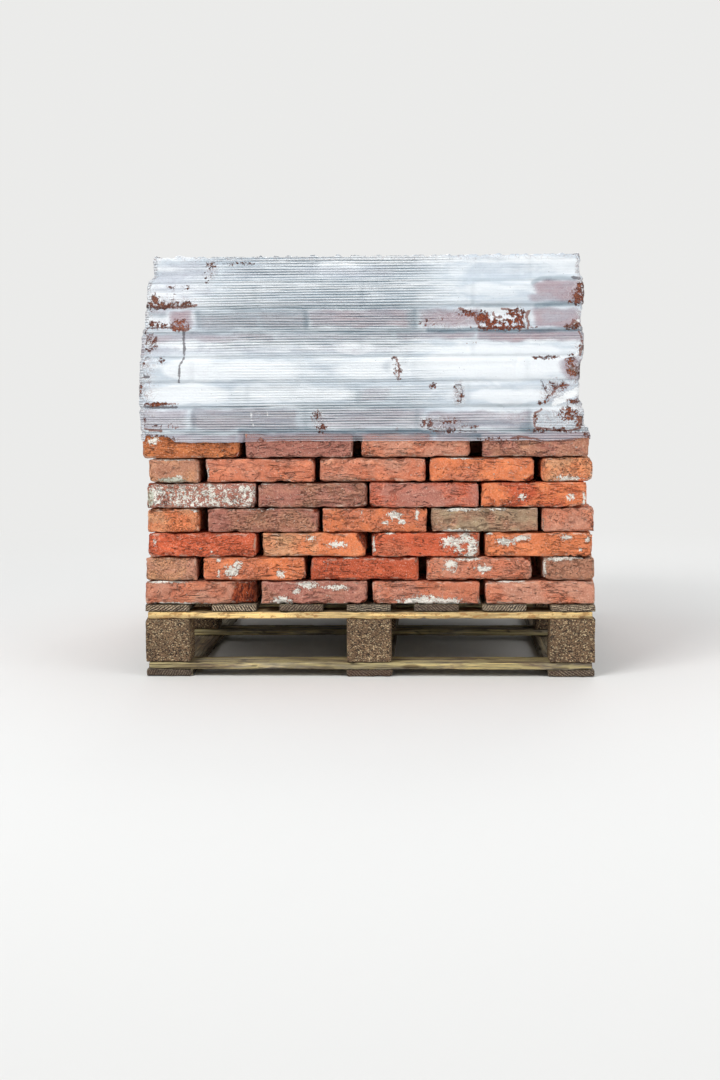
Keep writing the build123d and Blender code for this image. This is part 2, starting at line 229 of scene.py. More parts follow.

# Lines on the film: brick dust (rust), dark ones (ink), bluish painted shade and pale folds of painted
# highlight. They were read from four parts of the photograph, enlarged six times. Each part is named by its
# upper left corner in the photograph's pixels. A line has its kind, half width in mm, strength,
# and points in the enlarged part's own pixels.
ENLARGED = 6
MARKS = {
    (135, 245): (
        ("rust", 3.0, 0.6, (440, 105), (430, 150), (428, 190), (445, 200)),
        ("rust", 2.6, 0.7, (430, 110), (465, 118)),
        ("ink", 2.6, 0.7, (515, 108), (560, 104), (600, 106), (680, 102)),
        ("rust", 2.6, 0.5, (190, 290), (190, 340)), ("rust", 2.6, 0.5, (232, 280), (230, 325)),
        ("rust", 2.6, 0.5, (185, 250), (265, 255)), ("rust", 2.6, 0.5, (290, 262), (325, 250)),
        ("rust", 3.2, 0.9, (75, 370), (150, 372), (230, 372), (300, 372), (365, 360)),
        ("ink", 2.8, 0.8, (60, 470), (75, 495), (120, 498), (180, 495)),
        ("rust", 3.4, 1.0, (215, 480), (250, 500), (300, 512), (318, 498)),
        ("ink", 2.4, 0.7, (100, 95), (95, 150), (105, 215), (75, 235)),
        ("ink", 3.4, 1.0, (290, 515), (290, 570), (292, 630)),
    ),
    (135, 345): (
        ("ink", 2.8, 0.85, (292, 0), (290, 80), (265, 125), (262, 225)),
        ("ink", 3.4, 1.0, (25, 60), (20, 110), (35, 165), (55, 190), (80, 190)),
        ("ink", 2.4, 0.7, (60, 75), (80, 70)),
        ("ink", 2.2, 0.6, (130, 100), (175, 90), (180, 110), (150, 125)),
        ("rust", 2.8, 0.8, (15, 235), (12, 300), (20, 360)),
        ("ink", 3.4, 0.9, (20, 365), (100, 375), (250, 372)),
        ("rust", 2.8, 0.8, (60, 355), (150, 352), (240, 355)),
        ("rust", 3.0, 0.9, (30, 420), (25, 470), (40, 500), (100, 510), (160, 515)),
        ("rust", 2.2, 0.6, (240, 500), (262, 485), (270, 505)),
        ("rust", 2.4, 0.7, (1070, 400), (1080, 440), (1110, 470), (1150, 490), (1140, 505), (1100, 505)),
        ("rust", 2.2, 0.5, (1150, 490), (1220, 510)),
        ("shade", 4.5, 0.9, (630, 515), (840, 514), (1040, 512), (1200, 525), (1470, 518)),
        ("pale", 2.2, 0.7, (695, 405), (700, 450), (712, 485)), ("pale", 2.2, 0.6, (795, 400), (797, 465)),
    ),
    (360, 245): (
        ("shade", 5.0, 0.9, (1060, 365), (1150, 350), (1300, 345)),
        ("shade", 4.0, 0.6, (1040, 225), (1090, 195), (1200, 190), (1290, 200)),
        ("ink", 3.4, 1.0, (1280, 190), (1320, 200)),
        ("ink", 2.2, 0.7, (1240, 48), (1310, 50), (1335, 75), (1330, 180)),
        ("rust", 2.4, 0.5, (375, 410), (380, 480), (430, 485), (480, 450), (560, 410), (600, 400)),
        ("rust", 3.2, 1.0, (600, 380), (650, 395), (690, 420), (700, 460), (720, 495), (860, 498)),
        ("rust", 3.0, 0.9, (800, 400), (810, 450), (800, 465)),
        ("rust", 3.0, 0.9, (820, 430), (865, 440), (860, 495)),
        ("ink", 2.6, 0.8, (880, 490), (950, 490), (1015, 498)),
        ("rust", 3.0, 1.0, (1015, 395), (1000, 430), (1015, 470), (1010, 498)),
        ("rust", 2.8, 0.9, (855, 380), (900, 385), (950, 390), (990, 405)),
        ("shade", 4.5, 1.0, (410, 510), (550, 515), (700, 505), (1000, 515), (1330, 500)),
        ("rust", 3.2, 0.9, (1230, 490), (1270, 480), (1280, 450), (1330, 480)),
        ("rust", 2.6, 0.8, (1345, 200), (1350, 240), (1345, 330)),
        ("rust", 2.8, 0.8, (1315, 520), (1335, 560), (1335, 620)),
        ("ink", 2.0, 0.5, (690, 520), (710, 560)), ("rust", 2.0, 0.5, (630, 590), (700, 585)),
        ("pale", 3.6, 0.8, (1290, 470), (1320, 450)),
    ),
    (360, 345): (
        ("rust", 3.6, 0.8, (200, 70), (220, 90), (235, 130), (232, 190)),
        ("ink", 2.6, 0.8, (1045, 72), (1100, 75), (1150, 65), (1100, 85)),
        ("rust", 3.0, 0.8, (420, 238), (450, 245)),
        ("ink", 2.6, 0.8, (560, 260), (575, 240), (600, 235), (615, 280), (605, 345)),
        ("ink", 1.8, 0.4, (650, 230), (650, 330), (600, 370), (500, 380)),
        ("ink", 2.6, 0.8, (1090, 215), (1130, 300), (1110, 345)),
        ("rust", 3.0, 0.8, (1150, 300), (1190, 250), (1250, 240)),
        ("rust", 3.0, 0.8, (1260, 330), (1310, 340)),
        ("rust", 3.0, 0.9, (1090, 385), (1050, 410), (1045, 460), (1050, 495), (1150, 510), (1260, 515),
         (1320, 500), (1330, 450), (1270, 400), (1215, 385)),
        ("ink", 2.2, 0.6, (420, 450), (500, 440), (560, 450), (600, 480)),
        ("ink", 2.4, 0.8, (400, 500), (450, 515), (600, 515), (700, 520)),
        ("rust", 2.2, 0.6, (450, 500), (600, 505)),
        ("shade", 4.0, 0.5, (610, 480), (760, 465), (850, 470), (1000, 490)),
        ("shade", 8.0, 1.0, (980, 490), (1030, 500)),
        ("shade", 4.0, 1.0, (0, 518), (350, 515), (420, 530), (560, 540), (720, 545)),
        ("rust", 3.0, 0.8, (905, 560), (960, 550), (1060, 565), (1120, 585), (1200, 575),
         (1300, 565), (1370, 590)),
        ("rust", 3.2, 0.9, (1330, 20), (1320, 60)), ("pale", 3.6, 0.8, (1290, 60), (1330, 30)),
        ("pale", 9.0, 0.8, (1172, 344), (1233, 321), (1250, 300), (1320, 271)),
    ),
}


def prop(kind, name, description, default, **more):
    """One property of a panel, with its name and what it says."""
    return kind(name=name, description=description, default=default, **more)


def length(name, description, default):
    """A property that holds a length."""
    return prop(bpy.props.FloatProperty, name, description, default, min=0.0, unit="LENGTH", precision=4)


def tone(name, description, default):
    """A property that holds a colour."""
    more = {"min": 0.0, "max": 1.0, "subtype": "COLOR"}
    return prop(bpy.props.FloatVectorProperty, name, description, default, **more)


class BrickSettings(bpy.types.PropertyGroup):
    """Sizes of the wear on the bricks, and the tones of their clay."""

    worn_edge: length("Worn edge", "Radius of a brick's worn edges", 0.0074)
    settling: length("Settling", "How much a brick's faces lie inside its outline", 0.0009)
    sag: length("Sag", "How far a face can fall short of a straight one", 0.0046)
    roughness: length("Roughness", "Height of the lumps on a face", 0.0031)
    crease: length("Crease", "Depth of the folds in the clay", 0.0030)
    pit: length("Pit", "Depth of the chips and holes", 0.0052)
    salmon: tone("Salmon", "Salmon red clay", (0.72, 0.225, 0.120))
    orange: tone("Orange", "Bright orange clay", (0.91, 0.268, 0.108))
    red: tone("Red", "Deep red clay", (0.70, 0.138, 0.060))
    russet: tone("Russet", "Dark orange brown clay", (0.54, 0.165, 0.060))
    rose: tone("Rose", "Pale rose clay", (0.72, 0.30, 0.205))
    dusty: tone("Dusty", "Dusty pinkish tan clay", (0.64, 0.285, 0.190))
    mauve: tone("Mauve", "Mauve brown clay", (0.50, 0.195, 0.145))
    brown: tone("Brown", "Greyish brown clay", (0.52, 0.235, 0.145))
    tan: tone("Tan", "Light tan clay", (0.80, 0.385, 0.205))
    olive: tone("Olive", "Olive grey clay", (0.42, 0.29, 0.185))
    lime: tone("Lime", "Old lime mortar", (1.0, 0.965, 0.87))
    moss: tone("Moss", "Green growth", (0.38, 0.44, 0.30))
    # Painted shade, laid into the folds, holes and creases of the bricks and along the courses of the core
    deep_shade: tone("Soot", "Dirt in cracks and joints", (0.045, 0.022, 0.016))


class WoodSettings(bpy.types.PropertyGroup):
    """Wear and tones of the boards and the pressed blocks."""

    worn_edge: length("Worn edge", "Radius of a board's edges", 0.0016)
    sag: length("Sag", "How far a face can fall short of a straight one", 0.0016)
    fibre: length("Fibre", "Height of the grain on a board", 0.0009)
    split: length("Split", "Depth of the splits along the grain", 0.0024)
    old: tone("Old wood", "Weathered brown wood", (0.135, 0.088, 0.055))
    grey: tone("Grey wood", "Bleached grey wood", (0.27, 0.235, 0.185))
    end: tone("Sawn end", "Weathered sawn end of a board", (0.10, 0.066, 0.045))
    # Dark wood tone, also used as painted shade on the upward faces of fresh boards and in the splits
    wet_and_shade: tone("Wet wood", "Dark wet wood", (0.030, 0.019, 0.014))
    algae: tone("Algae", "Yellow green growth on wood", (0.50, 0.415, 0.20))
    fresh: tone("Fresh wood", "Light new wood", (0.84, 0.60, 0.27))
    chip: tone("Chip", "Common chip in a pressed block", (0.43, 0.265, 0.138))
    glue: tone("Glue", "Dark ground of a pressed block", (0.165, 0.092, 0.052))
    nail: tone("Nail", "Rusty nail head", (0.11, 0.06, 0.04))


class FilmSettings(bpy.types.PropertyGroup):
    """Sizes and tones of the stretch film."""

    clearance: length("Clearance", "How far the film lies outside the bricks", 0.0011)
    lip: length("Lip", "How far the film reaches over the top", 0.062)
    corner: length("Corner", "Radius of the film at the load's corners", 0.009)
    groove: length("Groove", "How far the film is drawn in at a bed", 0.0030)
    pleat: length("Pleat", "Height of the horizontal pleats", 0.0007)
    crumple: length("Crumple", "Height of the folds at the load's corners", 0.0019)
    front_step: length("Front step", "Distance between columns on the front", 0.0041)
    side_step: length("Side step", "Distance between columns on the other sides", 0.0125)
    rise_step: length("Rise step", "Distance between rows", 0.0027)
    pleat_step: length("Pleat step", "Height of one turn's fine pleats", 0.0057)
    white: tone("White", "Many layers of film that lie free of the brick", (0.87, 0.905, 0.935))
    free: tone("Free", "Fewer layers of film that lie free of the brick", (0.59, 0.66, 0.73))
    lilac: tone("Lilac", "Film that lies against the brick", (0.47, 0.44, 0.50))
    pink: tone("Pink", "Film that lies close against red brick", (0.50, 0.36, 0.39))
    slate: tone("Slate", "Film in shade, free of the brick", (0.42, 0.475, 0.53))
    # Teal serves as painted shade: in the grooves over joints and beds, along the shade lines and in the
    # pleats' hollows
    teal: tone("Teal", "Film over a joint", (0.105, 0.182, 0.24))
    rust: tone("Rust", "Brick dust on the film", (0.22, 0.075, 0.045))


class StageSettings(bpy.types.PropertyGroup):
    """The camera, the lamps and the pale floor."""

    camera_place: prop(bpy.props.FloatVectorProperty, "Camera place", "Where the camera stands",
                       CAMERA_PLACE, subtype="TRANSLATION", unit="LENGTH")
    yaw: prop(bpy.props.FloatProperty, "Yaw", "Turn of the camera to the left", YAW, unit="ROTATION")
    pitch: prop(bpy.props.FloatProperty, "Pitch", "Tilt of the camera down", PITCH, unit="ROTATION")
    roll: prop(bpy.props.FloatProperty, "Roll", "Turn of the frame", ROLL, unit="ROTATION")
    lens: prop(bpy.props.FloatProperty, "Lens", "Focal length on a 36 mm frame", LENS, unit="CAMERA")
    sky: prop(bpy.props.FloatProperty, "Sky", "Strength of the even light", 0.64, min=0.0)
    floor: tone("Floor", "Pale floor and backdrop", (0.80, 0.80, 0.79))


class Wire:
    """One value in a node tree. Sums and products of wires add the nodes that work them out."""

    def __init__(self, flow, socket):
        self.flow, self.socket = flow, socket

    def __add__(self, other):
        return self.flow.maths("ADD", self, other)

    def __sub__(self, other):
        return self.flow.maths("SUBTRACT", self, other)

    def __rsub__(self, other):
        return self.flow.maths("SUBTRACT", other, self)

    def __mul__(self, other):
        return self.flow.maths("MULTIPLY", self, other)

    def __truediv__(self, other):
        return self.flow.maths("DIVIDE", self, other)


def is_vector(value):
    """Whether a wire or a plain value has three parts."""
    if isinstance(value, Wire):
        return value.socket.type in ("VECTOR", "RGBA")
    return not isinstance(value, (int, float))


class Flow:
    """Builds one node tree, for a shape or for a material."""

    def __init__(self, tree):
        self.tree = tree

    def node(self, kind, feeds=(), **settings):
        """A new node with its settings made and its inputs fed."""
        made = self.tree.nodes.new(kind)
        for name, value in settings.items():
            setattr(made, name, value)
        for key, value in dict(feeds).items():
            self.feed(made.inputs[key], value)
        return made

    def feed(self, socket, value):
        """Gives an input a wire, another node's output or a plain value."""
        if isinstance(value, Wire):
            value = value.socket
        if isinstance(value, bpy.types.NodeSocket):
            self.tree.links.new(value, socket)
        else:
            socket.default_value = value

    def wire(self, node, output=0):
        return Wire(self, node.outputs[output])

    def maths(self, operation, *values):
        """A maths node, of vectors if one of its values is a vector."""
        if any(is_vector(value) for value in values):
            made = self.node("ShaderNodeVectorMath", operation=operation)
            values = [(v,) * 3 if isinstance(v, (int, float)) else v for v in values]
        else:
            made = self.node("ShaderNodeMath", operation=operation)
        for socket, value in zip(made.inputs, values):
            self.feed(socket, value)
        return self.wire(made, "Value" if operation in ("DOT_PRODUCT", "LENGTH") else 0)

    def most(self, first, *others):
        """The largest of some values."""
        for other in others:
            first = self.maths("MAXIMUM", first, other)
        return first

    def noise(self, vector, scale, detail=2.0, roughness=0.5, distortion=0.0, output=0):
        """Cloudy noise around 0.5."""
        feeds = {"Vector": vector, "Scale": scale, "Detail": detail, "Roughness": roughness,
                 "Distortion": distortion}
        return self.wire(self.node("ShaderNodeTexNoise", feeds), output)

    def cells(self, vector, scale, output="Distance"):
        """Cells round scattered points: how far off the nearest one is, or its own colour."""
        return self.wire(self.node("ShaderNodeTexVoronoi", {"Vector": vector, "Scale": scale}), output)

    def ramp(self, value, low, high, start=0.0, end=1.0):
        """Goes smoothly from start to end while the value goes from low to high."""
        feeds = {"Value": value, "From Min": low, "From Max": high, "To Min": start, "To Max": end}
        return self.wire(self.node("ShaderNodeMapRange", feeds, interpolation_type="SMOOTHSTEP"))

    def line(self, value, middle, width):
        """A thin line where a value crosses the middle."""
        return self.ramp(self.maths("ABSOLUTE", value - middle), 0.0, width, 1.0, 0.0)

    def mix(self, first, second, factor):
        """A blend of two colours."""
        made = self.node("ShaderNodeMix", data_type="RGBA")
        self.feed(made.inputs[0], factor)
        for socket, value in ((made.inputs[6], first), (made.inputs[7], second)):
            self.feed(socket, value if isinstance(value, Wire) else (*tuple(value)[:3], 1.0))
        return self.wire(made, 2)

    def parts(self, vector):
        """The X, Y and Z of a vector."""
        split = self.node("ShaderNodeSeparateXYZ", {"Vector": vector})
        return [self.wire(split, axis) for axis in "XYZ"]


def shape_tree(name, sizes):
    """A new geometry tree with its group input and named sizes, as (flow, input node, wires)."""
    tree = bpy.data.node_groups.new(name, "GeometryNodeTree")
    tree.interface.new_socket("Geometry", in_out="INPUT", socket_type="NodeSocketGeometry")
    for title, kind in sizes.items():
        tree.interface.new_socket(title, in_out="INPUT", socket_type=f"NodeSocket{kind}")
    tree.interface.new_socket("Geometry", in_out="OUTPUT", socket_type="NodeSocketGeometry")
    flow = Flow(tree)
    group = flow.node("NodeGroupInput")
    return flow, group, {title: flow.wire(group, title) for title in sizes}


def end_tree(flow, geometry, material):
    """Realizes what the tree made, gives it its material and sends it out."""
    real = flow.node("GeometryNodeRealizeInstances", {"Geometry": geometry})
    smooth = flow.node("GeometryNodeSetShadeSmooth", {"Geometry": real.outputs[0]})
    dressed = flow.node("GeometryNodeSetMaterial", {"Geometry": smooth.outputs[0], "Material": material})
    flow.node("NodeGroupOutput", {"Geometry": dressed.outputs[0]})


def grown(name, points, tree, values):
    """The plain mesh object that a geometry tree makes from a mesh with its inputs set."""
    seed_object = bpy.data.objects.new(name + "_seeds", points)
    bpy.context.scene.collection.objects.link(seed_object)
    modifier = seed_object.modifiers.new("grow", "NODES")
    modifier.node_group = tree
    for item in tree.interface.items_tree:
        if item.item_type == "SOCKET" and item.in_out == "INPUT" and item.name in values:
            modifier[item.identifier] = values[item.name]
    bpy.context.view_layer.update()
    graph = bpy.context.evaluated_depsgraph_get()
    mesh = bpy.data.meshes.new_from_object(seed_object.evaluated_get(graph))
    seed_object.modifiers.remove(modifier)
    bpy.data.objects.remove(seed_object)
    bpy.data.meshes.remove(points)
    mesh.name = name
    made = bpy.data.objects.new(name, mesh)
    bpy.context.scene.collection.objects.link(made)
    return made


def joined(pieces, name):
    """Several mesh objects made into one, which keeps their attributes."""
    with bpy.context.temp_override(active_object=pieces[0], selected_editable_objects=pieces):
        bpy.ops.object.join()
    pieces[0].name = name
    pieces[0].data.name = name
    return pieces[0]


def dress(piece, slot, *nodes):
    """Attaches a finished piece to the root body and hides the nodes that it stands for. The slot is not
    used.
    """
    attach(piece, "root")
    if nodes:
        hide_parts(*nodes)


def put(mesh, name, values, kind="FLOAT"):
    """Stores one value for each point of a mesh under a name."""
    layer = mesh.attributes.new(name, kind, "POINT")
    key = {"FLOAT": "value", "FLOAT_VECTOR": "vector", "FLOAT_COLOR": "color"}[kind]
    layer.data.foreach_set(key, np.asarray(values, np.float32).ravel())


def fetch(layer, key, count):
    """The vectors of a mesh's points, as an array with a row for each."""
    values = np.zeros(count * 3)
    layer.foreach_get(key, values)
    return values.reshape(-1, 3)


# A cut far outside every block, for a block that keeps all its corners
NO_CUT = (np.array((0.0, 0.0, 1.0)), 9.0)
EDGE_ZONE = 0.03


class Block:
    """A straight block of the frame, as its centre, its size and its turn about Z.

    Its own X runs along its length, and its own -Y points away from the middle.
    """

    # Ways that a lost corner, or the lost side of an end, can face, and the least that shows it
    CORNERS = [((0.406 * x, 0.406 * y, 0.819 * z), 0.007) for x in (-1, 1) for y in (-1, 1) for z in (-1, 1)]
    ENDS = [((0.443 * x, 0.889 * y, -0.119), 0.016) for x in (-1, 1) for y in (-1, 1)]

    def __init__(self, points, side):
        outward = np.array((side[0], side[1]))
        if outward @ points.mean(0)[:2] < -1e-6:
            outward = -outward
        self.turn = math.atan2(outward[0], -outward[1])
        cos, sin = math.cos(self.turn), math.sin(self.turn)
        own = np.array(((cos, sin, 0), (-sin, cos, 0), (0, 0, 1)))
        local = points @ own.T
        low, high = local.min(0), local.max(0)
        self.size = high - low
        middle = (low + high) / 2
        self.centre = own.T @ middle
        self.low, self.high = points.min(0), points.max(0)
        self.cut = self.find_cut(local - middle)

    def find_cut(self, points):
        """The plane where the block has lost most of a corner, or of the side of an end."""
        most, cut = 0.0, NO_CUT
        for normal, least in self.CORNERS + self.ENDS:
            normal = np.array(normal)
            normal /= np.linalg.norm(normal)
            reach = (points @ normal).max()
            lost = self.reach_along(normal) - reach
            if lost > max(least, most):
                shallower = 0.5 * lost * (abs(normal[2]) > 0.5)
                most, cut = lost, (normal, reach - shallower)
        return cut

    def reach_along(self, normal):
        """How far the whole block would reach along a direction."""
        return np.abs(normal) @ (self.size / 2)


def islands_of(bm):
    """The vertices of each separate solid of a mesh."""
    left = set(bm.verts)
    while left:
        stack, island = [left.pop()], []
        while stack:
            vert = stack.pop()
            island.append(vert)
            for edge in vert.link_edges:
                other = edge.other_vert(vert)
                if other in left:
                    left.discard(other)
                    stack.append(other)
        yield island


def blocks_of(node):
    """The separate solids of a node as blocks, from front to back and left to right."""
    bm = bmesh.new()
    bm.from_mesh(NODES[node].data)
    bmesh.ops.remove_doubles(bm, verts=bm.verts, dist=1e-6)
    bm.normal_update()
    found = []
    for island in islands_of(bm):
        faces = {face for vert in island for face in vert.link_faces if abs(face.normal.z) < 0.1}
        side = max(faces, key=lambda face: (round(face.calc_area(), 7),
                                            *(round(value, 5) for value in face.calc_center_median())))
        found.append(Block(np.array(sorted(vert.co[:] for vert in island)), side.normal))
    bm.free()
    return sorted(found, key=lambda block: (round(block.centre[1], 3), round(block.centre[0], 3)))


def seed_points(blocks, draw):
    """A mesh with a point for each block, which carries what the tree needs to grow it."""
    mesh = bpy.data.meshes.new("block_seeds")
    mesh.from_pydata([tuple(block.centre) for block in blocks], [], [])
    put(mesh, "size", [block.size for block in blocks], "FLOAT_VECTOR")
    put(mesh, "turn", [block.turn for block in blocks])
    put(mesh, "seed", [draw.uniform(0, 50) for _ in blocks])
    put(mesh, "cut", [block.cut[0] for block in blocks], "FLOAT_VECTOR")
    put(mesh, "cut_at", [block.cut[1] for block in blocks])
    return mesh


def carried(flow, name, kind="FLOAT"):
    """What a point of the growing mesh carries under a name."""
    return flow.wire(flow.node("GeometryNodeInputNamedAttribute", {"Name": name}, data_type=kind))


def store(flow, geometry, name, value, kind="FLOAT"):
    """Stores a value for each point of the growing mesh under a name."""
    feeds = {"Geometry": geometry, "Name": name, "Value": value}
    return flow.node("GeometryNodeStoreNamedAttribute", feeds, data_type=kind, domain="POINT").outputs[0]


def worn_inward(flow, away, edginess, size_of):
    """How deep the surface lies in, as (the depth of all wear, folds, pits)."""
    fold = flow.noise(away * size_of["Crease Scale"], 1.0, 2.0, 0.5, 0.6)
    fold_line = 1.0 - flow.ramp(flow.maths("ABSOLUTE", fold - 0.5), 0.0, 0.036)
    crease = fold_line * flow.ramp(flow.noise(away, 16.0, 1.0), 0.46, 0.58)
    pit_pick = flow.ramp(flow.noise(away, 30.0, 1.0), 0.55, 0.66)
    pit = flow.ramp(flow.cells(away, 46.0), 0.1, 0.42, 1.0, 0.0) * pit_pick
    chipping = flow.ramp(flow.noise(away, 52.0, 2.0, 0.6), 0.48, 0.72) * flow.most(edginess, 0.0)
    inward = (size_of["Settling"] + crease * size_of["Crease"]
              + pit * size_of["Pit"] * (edginess * 0.5 + 0.5) + chipping * size_of["Pit"] * 1.3)
    return inward, crease, pit


def cut_off(flow, shaped, away):
    """Cuts a block off along its plane, with a rough break, as (places, how much was lost)."""
    plane = carried(flow, "cut", "FLOAT_VECTOR")
    break_rough = (flow.noise(away, 65.0, 3.0, 0.65) - 0.5) * 0.0105
    over = flow.maths("DOT_PRODUCT", shaped, plane) - carried(flow, "cut_at") - break_rough
    over = flow.most(over, 0.0)
    return shaped - plane * over, over


def worn_block_tree():
    """Grows a worn block round each point: rounded, warped, creased, pitted and cut."""
    sizes = {"Cuts": "Vector", "Crowding": "Vector", "Settling": "Float", "Edge": "Float", "Sag": "Vector",
             "Sag Scale": "Float", "Roughness": "Float", "Roughness Scale": "Vector", "Crease": "Float",
             "Crease Scale": "Vector", "Pit": "Float", "Material": "Material"}
    flow, group, size_of = shape_tree("worn_blocks", sizes)

    # A unit cube on each point, whose vertices know their place in it
    cuts = dict(zip(("Vertices X", "Vertices Y", "Vertices Z"), flow.parts(size_of["Cuts"])))
    cube = flow.node("GeometryNodeMeshCube", {"Size": (1, 1, 1), **cuts})
    place = flow.wire(flow.node("GeometryNodeInputPosition"))
    unit = store(flow, cube.outputs["Mesh"], "unit", place, "FLOAT_VECTOR")
    many = flow.node("GeometryNodeInstanceOnPoints", {"Points": group.outputs["Geometry"], "Instance": unit})
    real = flow.node("GeometryNodeRealizeInstances", {"Geometry": many.outputs[0]}).outputs[0]

    # The block's own size, with its vertices crowded towards its edges
    unit_place = carried(flow, "unit", "FLOAT_VECTOR")
    size, seed = carried(flow, "size", "FLOAT_VECTOR"), carried(flow, "seed")
    centre = place - unit_place
    crowd = flow.maths("SINE", unit_place * math.tau) * size_of["Crowding"] / math.tau
    full = (unit_place + crowd) * size
    away = full + seed * SEED_STEP

    # Rounded edges, more worn in some places than in others
    wear = flow.maths("FRACT", seed * 7.31) * 0.9 + 0.4
    edge = size_of["Edge"] * wear * flow.ramp(flow.noise(away, 30.0), 0.34, 0.66, 0.4, 1.6)
    inner = size * 0.5 - edge
    core = flow.most(flow.maths("MINIMUM", full, inner), inner * -1.0)
    rim = full - core
    normal = flow.maths("NORMALIZE", rim)
    edginess = (flow.maths("LENGTH", rim) / edge - 1.0) * 2.4
    rounded = core + normal * edge

    # Sagging faces, lumps, folds and pits, all of them inwards
    short = flow.noise(away, size_of["Sag Scale"], 2.0, 0.55, output="Color") - 0.45
    short = flow.most(short, 0.0) * size_of["Sag"] * 3.4
    rough_place = away * size_of["Roughness Scale"]
    lumps = (flow.noise(rough_place, 1.0, 4.0, 0.6) - 0.5) * (size_of["Roughness"] * 2.0)
    inward, crease, pit = worn_inward(flow, away, edginess, size_of)
    out = flow.maths("MINIMUM", lumps - inward, 0.0)
    shaped, lost = cut_off(flow, rounded + normal * out - unit_place * 2.0 * short, away)

    turned = flow.node("ShaderNodeVectorRotate", {"Vector": shaped, "Angle": carried(flow, "turn")},
                       rotation_type="Z_AXIS")
    geometry = store(flow, real, "local", full, "FLOAT_VECTOR")
    geometry = store(flow, geometry, "edge", edginess)
    geometry = store(flow, geometry, "broken", flow.ramp(lost, 0.0003, 0.002))
    geometry = store(flow, geometry, "crease", flow.most(crease, pit))
    geometry = store(flow, geometry, "facing", normal, "FLOAT_VECTOR")
    feeds = {"Geometry": geometry, "Position": centre + flow.wire(turned)}
    end_tree(flow, flow.node("GeometryNodeSetPosition", feeds).outputs[0], size_of["Material"])
    return flow.tree


def clean_block_mesh(mesh):
    """Drops what only the tree needed."""
    for name in ("unit", "size", "turn", "cut", "cut_at"):
        mesh.attributes.remove(mesh.attributes[name])


def new_material(name):
    """An empty material, as (material, flow, principled shader)."""
    material = bpy.data.materials.new(name)
    material.use_nodes = True
    flow = Flow(material.node_tree)
    material.node_tree.nodes.clear()
    shader = flow.node("ShaderNodeBsdfPrincipled")
    flow.node("ShaderNodeOutputMaterial", {"Surface": shader.outputs[0]})
    return material, flow, shader


def attribute(flow, name, output="Fac"):
    """What a point of the finished mesh carries under a name."""
    return flow.wire(flow.node("ShaderNodeAttribute", attribute_name=name), output)


def object_place(flow):
    """Where a point lies, in the object's own coordinates."""
    return flow.wire(flow.node("ShaderNodeTexCoord"), "Object")


def bump(flow, shader, height, distance, strength=1.0):
    """Fine relief from a height."""
    made = flow.node("ShaderNodeBump", {"Height": height, "Distance": distance, "Strength": strength})
    flow.feed(shader.inputs["Normal"], flow.wire(made))


class Coat:
    """A colour that is built up layer on layer."""

    def __init__(self, flow, first, second, share):
        self.flow, self.colour = flow, flow.mix(first, second, share)

    def over(self, tone, amount):
        """Lays a tone over what is there."""
        self.colour = self.flow.mix(self.colour, tone, amount)

    def times(self, factor, amount):
        """Darkens or brightens what is there."""
        self.over(self.colour * factor, amount)

    def onto(self, shader, roughness, **levels):
        """Gives the shader this colour, its roughness and its other plain levels."""
        self.flow.feed(shader.inputs["Base Color"], self.colour)
        shader.inputs["Roughness"].default_value = roughness
        for name, value in levels.items():
            shader.inputs[name.replace("_", " ")].default_value = value


def clay(flow, local):
    """Two tones mixed in clouds, with blotches and sandy grit, as (coat, grit)."""
    cloud = flow.ramp(flow.noise(local, 13.0, 3.0, 0.6), 0.4, 0.66)
    coat = Coat(flow, attribute(flow, "tone", "Color"), attribute(flow, "second_tone", "Color"), cloud)
    blotch = flow.noise(local * (26.0, 50.0, 52.0), 1.0, 5.0, 0.66, 0.6)
    coat.times((1.35, 1.5, 1.45), flow.ramp(blotch, 0.5, 0.7, 0.0, 0.8))
    coat.times((0.72, 0.54, 0.48), flow.ramp(blotch, 0.27, 0.46, 0.55, 0.0))
    grit = flow.noise(local, 320.0, 4.0, 0.78)
    coat.times((0.5, 0.38, 0.34), flow.ramp(grit, 0.3, 0.47, 0.85, 0.0))
    coat.over((0.95, 0.72, 0.58), flow.ramp(grit, 0.54, 0.7, 0.0, 0.66))
    return coat, grit


def clay_cracks(flow, local):
    """Where shade is painted on the clay: fine and long folds, small holes and deep creases."""
    fine_fold = flow.noise(local * (24.0, 52.0, 76.0), 1.0, 4.0, 0.6, 1.6)
    fine_line = flow.line(fine_fold, 0.5, 0.014) * flow.ramp(flow.noise(local, 13.0, 2.0), 0.46, 0.57)
    long_fold = flow.noise(local * (10.0, 30.0, 62.0) + 9.0, 1.0, 3.0, 0.62, 1.1)
    long_line = flow.line(long_fold, 0.52, 0.013) * flow.ramp(flow.noise(local, 15.0, 2.0), 0.44, 0.54)
    holes = flow.ramp(flow.cells(local, 170.0), 0.1, 0.26, 1.0, 0.0)
    holes = holes * flow.ramp(flow.noise(local, 38.0, 2.0), 0.56, 0.66)
    return flow.most(fine_line, long_line, holes, flow.ramp(attribute(flow, "crease"), 0.35, 0.95, 0.0, 0.6))


def old_lime(flow, local, ragged, crumbs):
    """Where lime lies: the splashes of each brick, and fine specks in some places."""
    splashed = attribute(flow, "lime") + (ragged - 0.5) * 2.7 + (crumbs - 0.5) * 1.9
    specks = flow.ramp(flow.noise(local, 190.0, 4.0, 0.65), 0.63, 0.69)
    specks = specks * flow.ramp(flow.noise(local, 11.0, 2.0), 0.48, 0.6)
    return flow.most(flow.ramp(splashed, 0.6, 0.68), specks * 0.75)


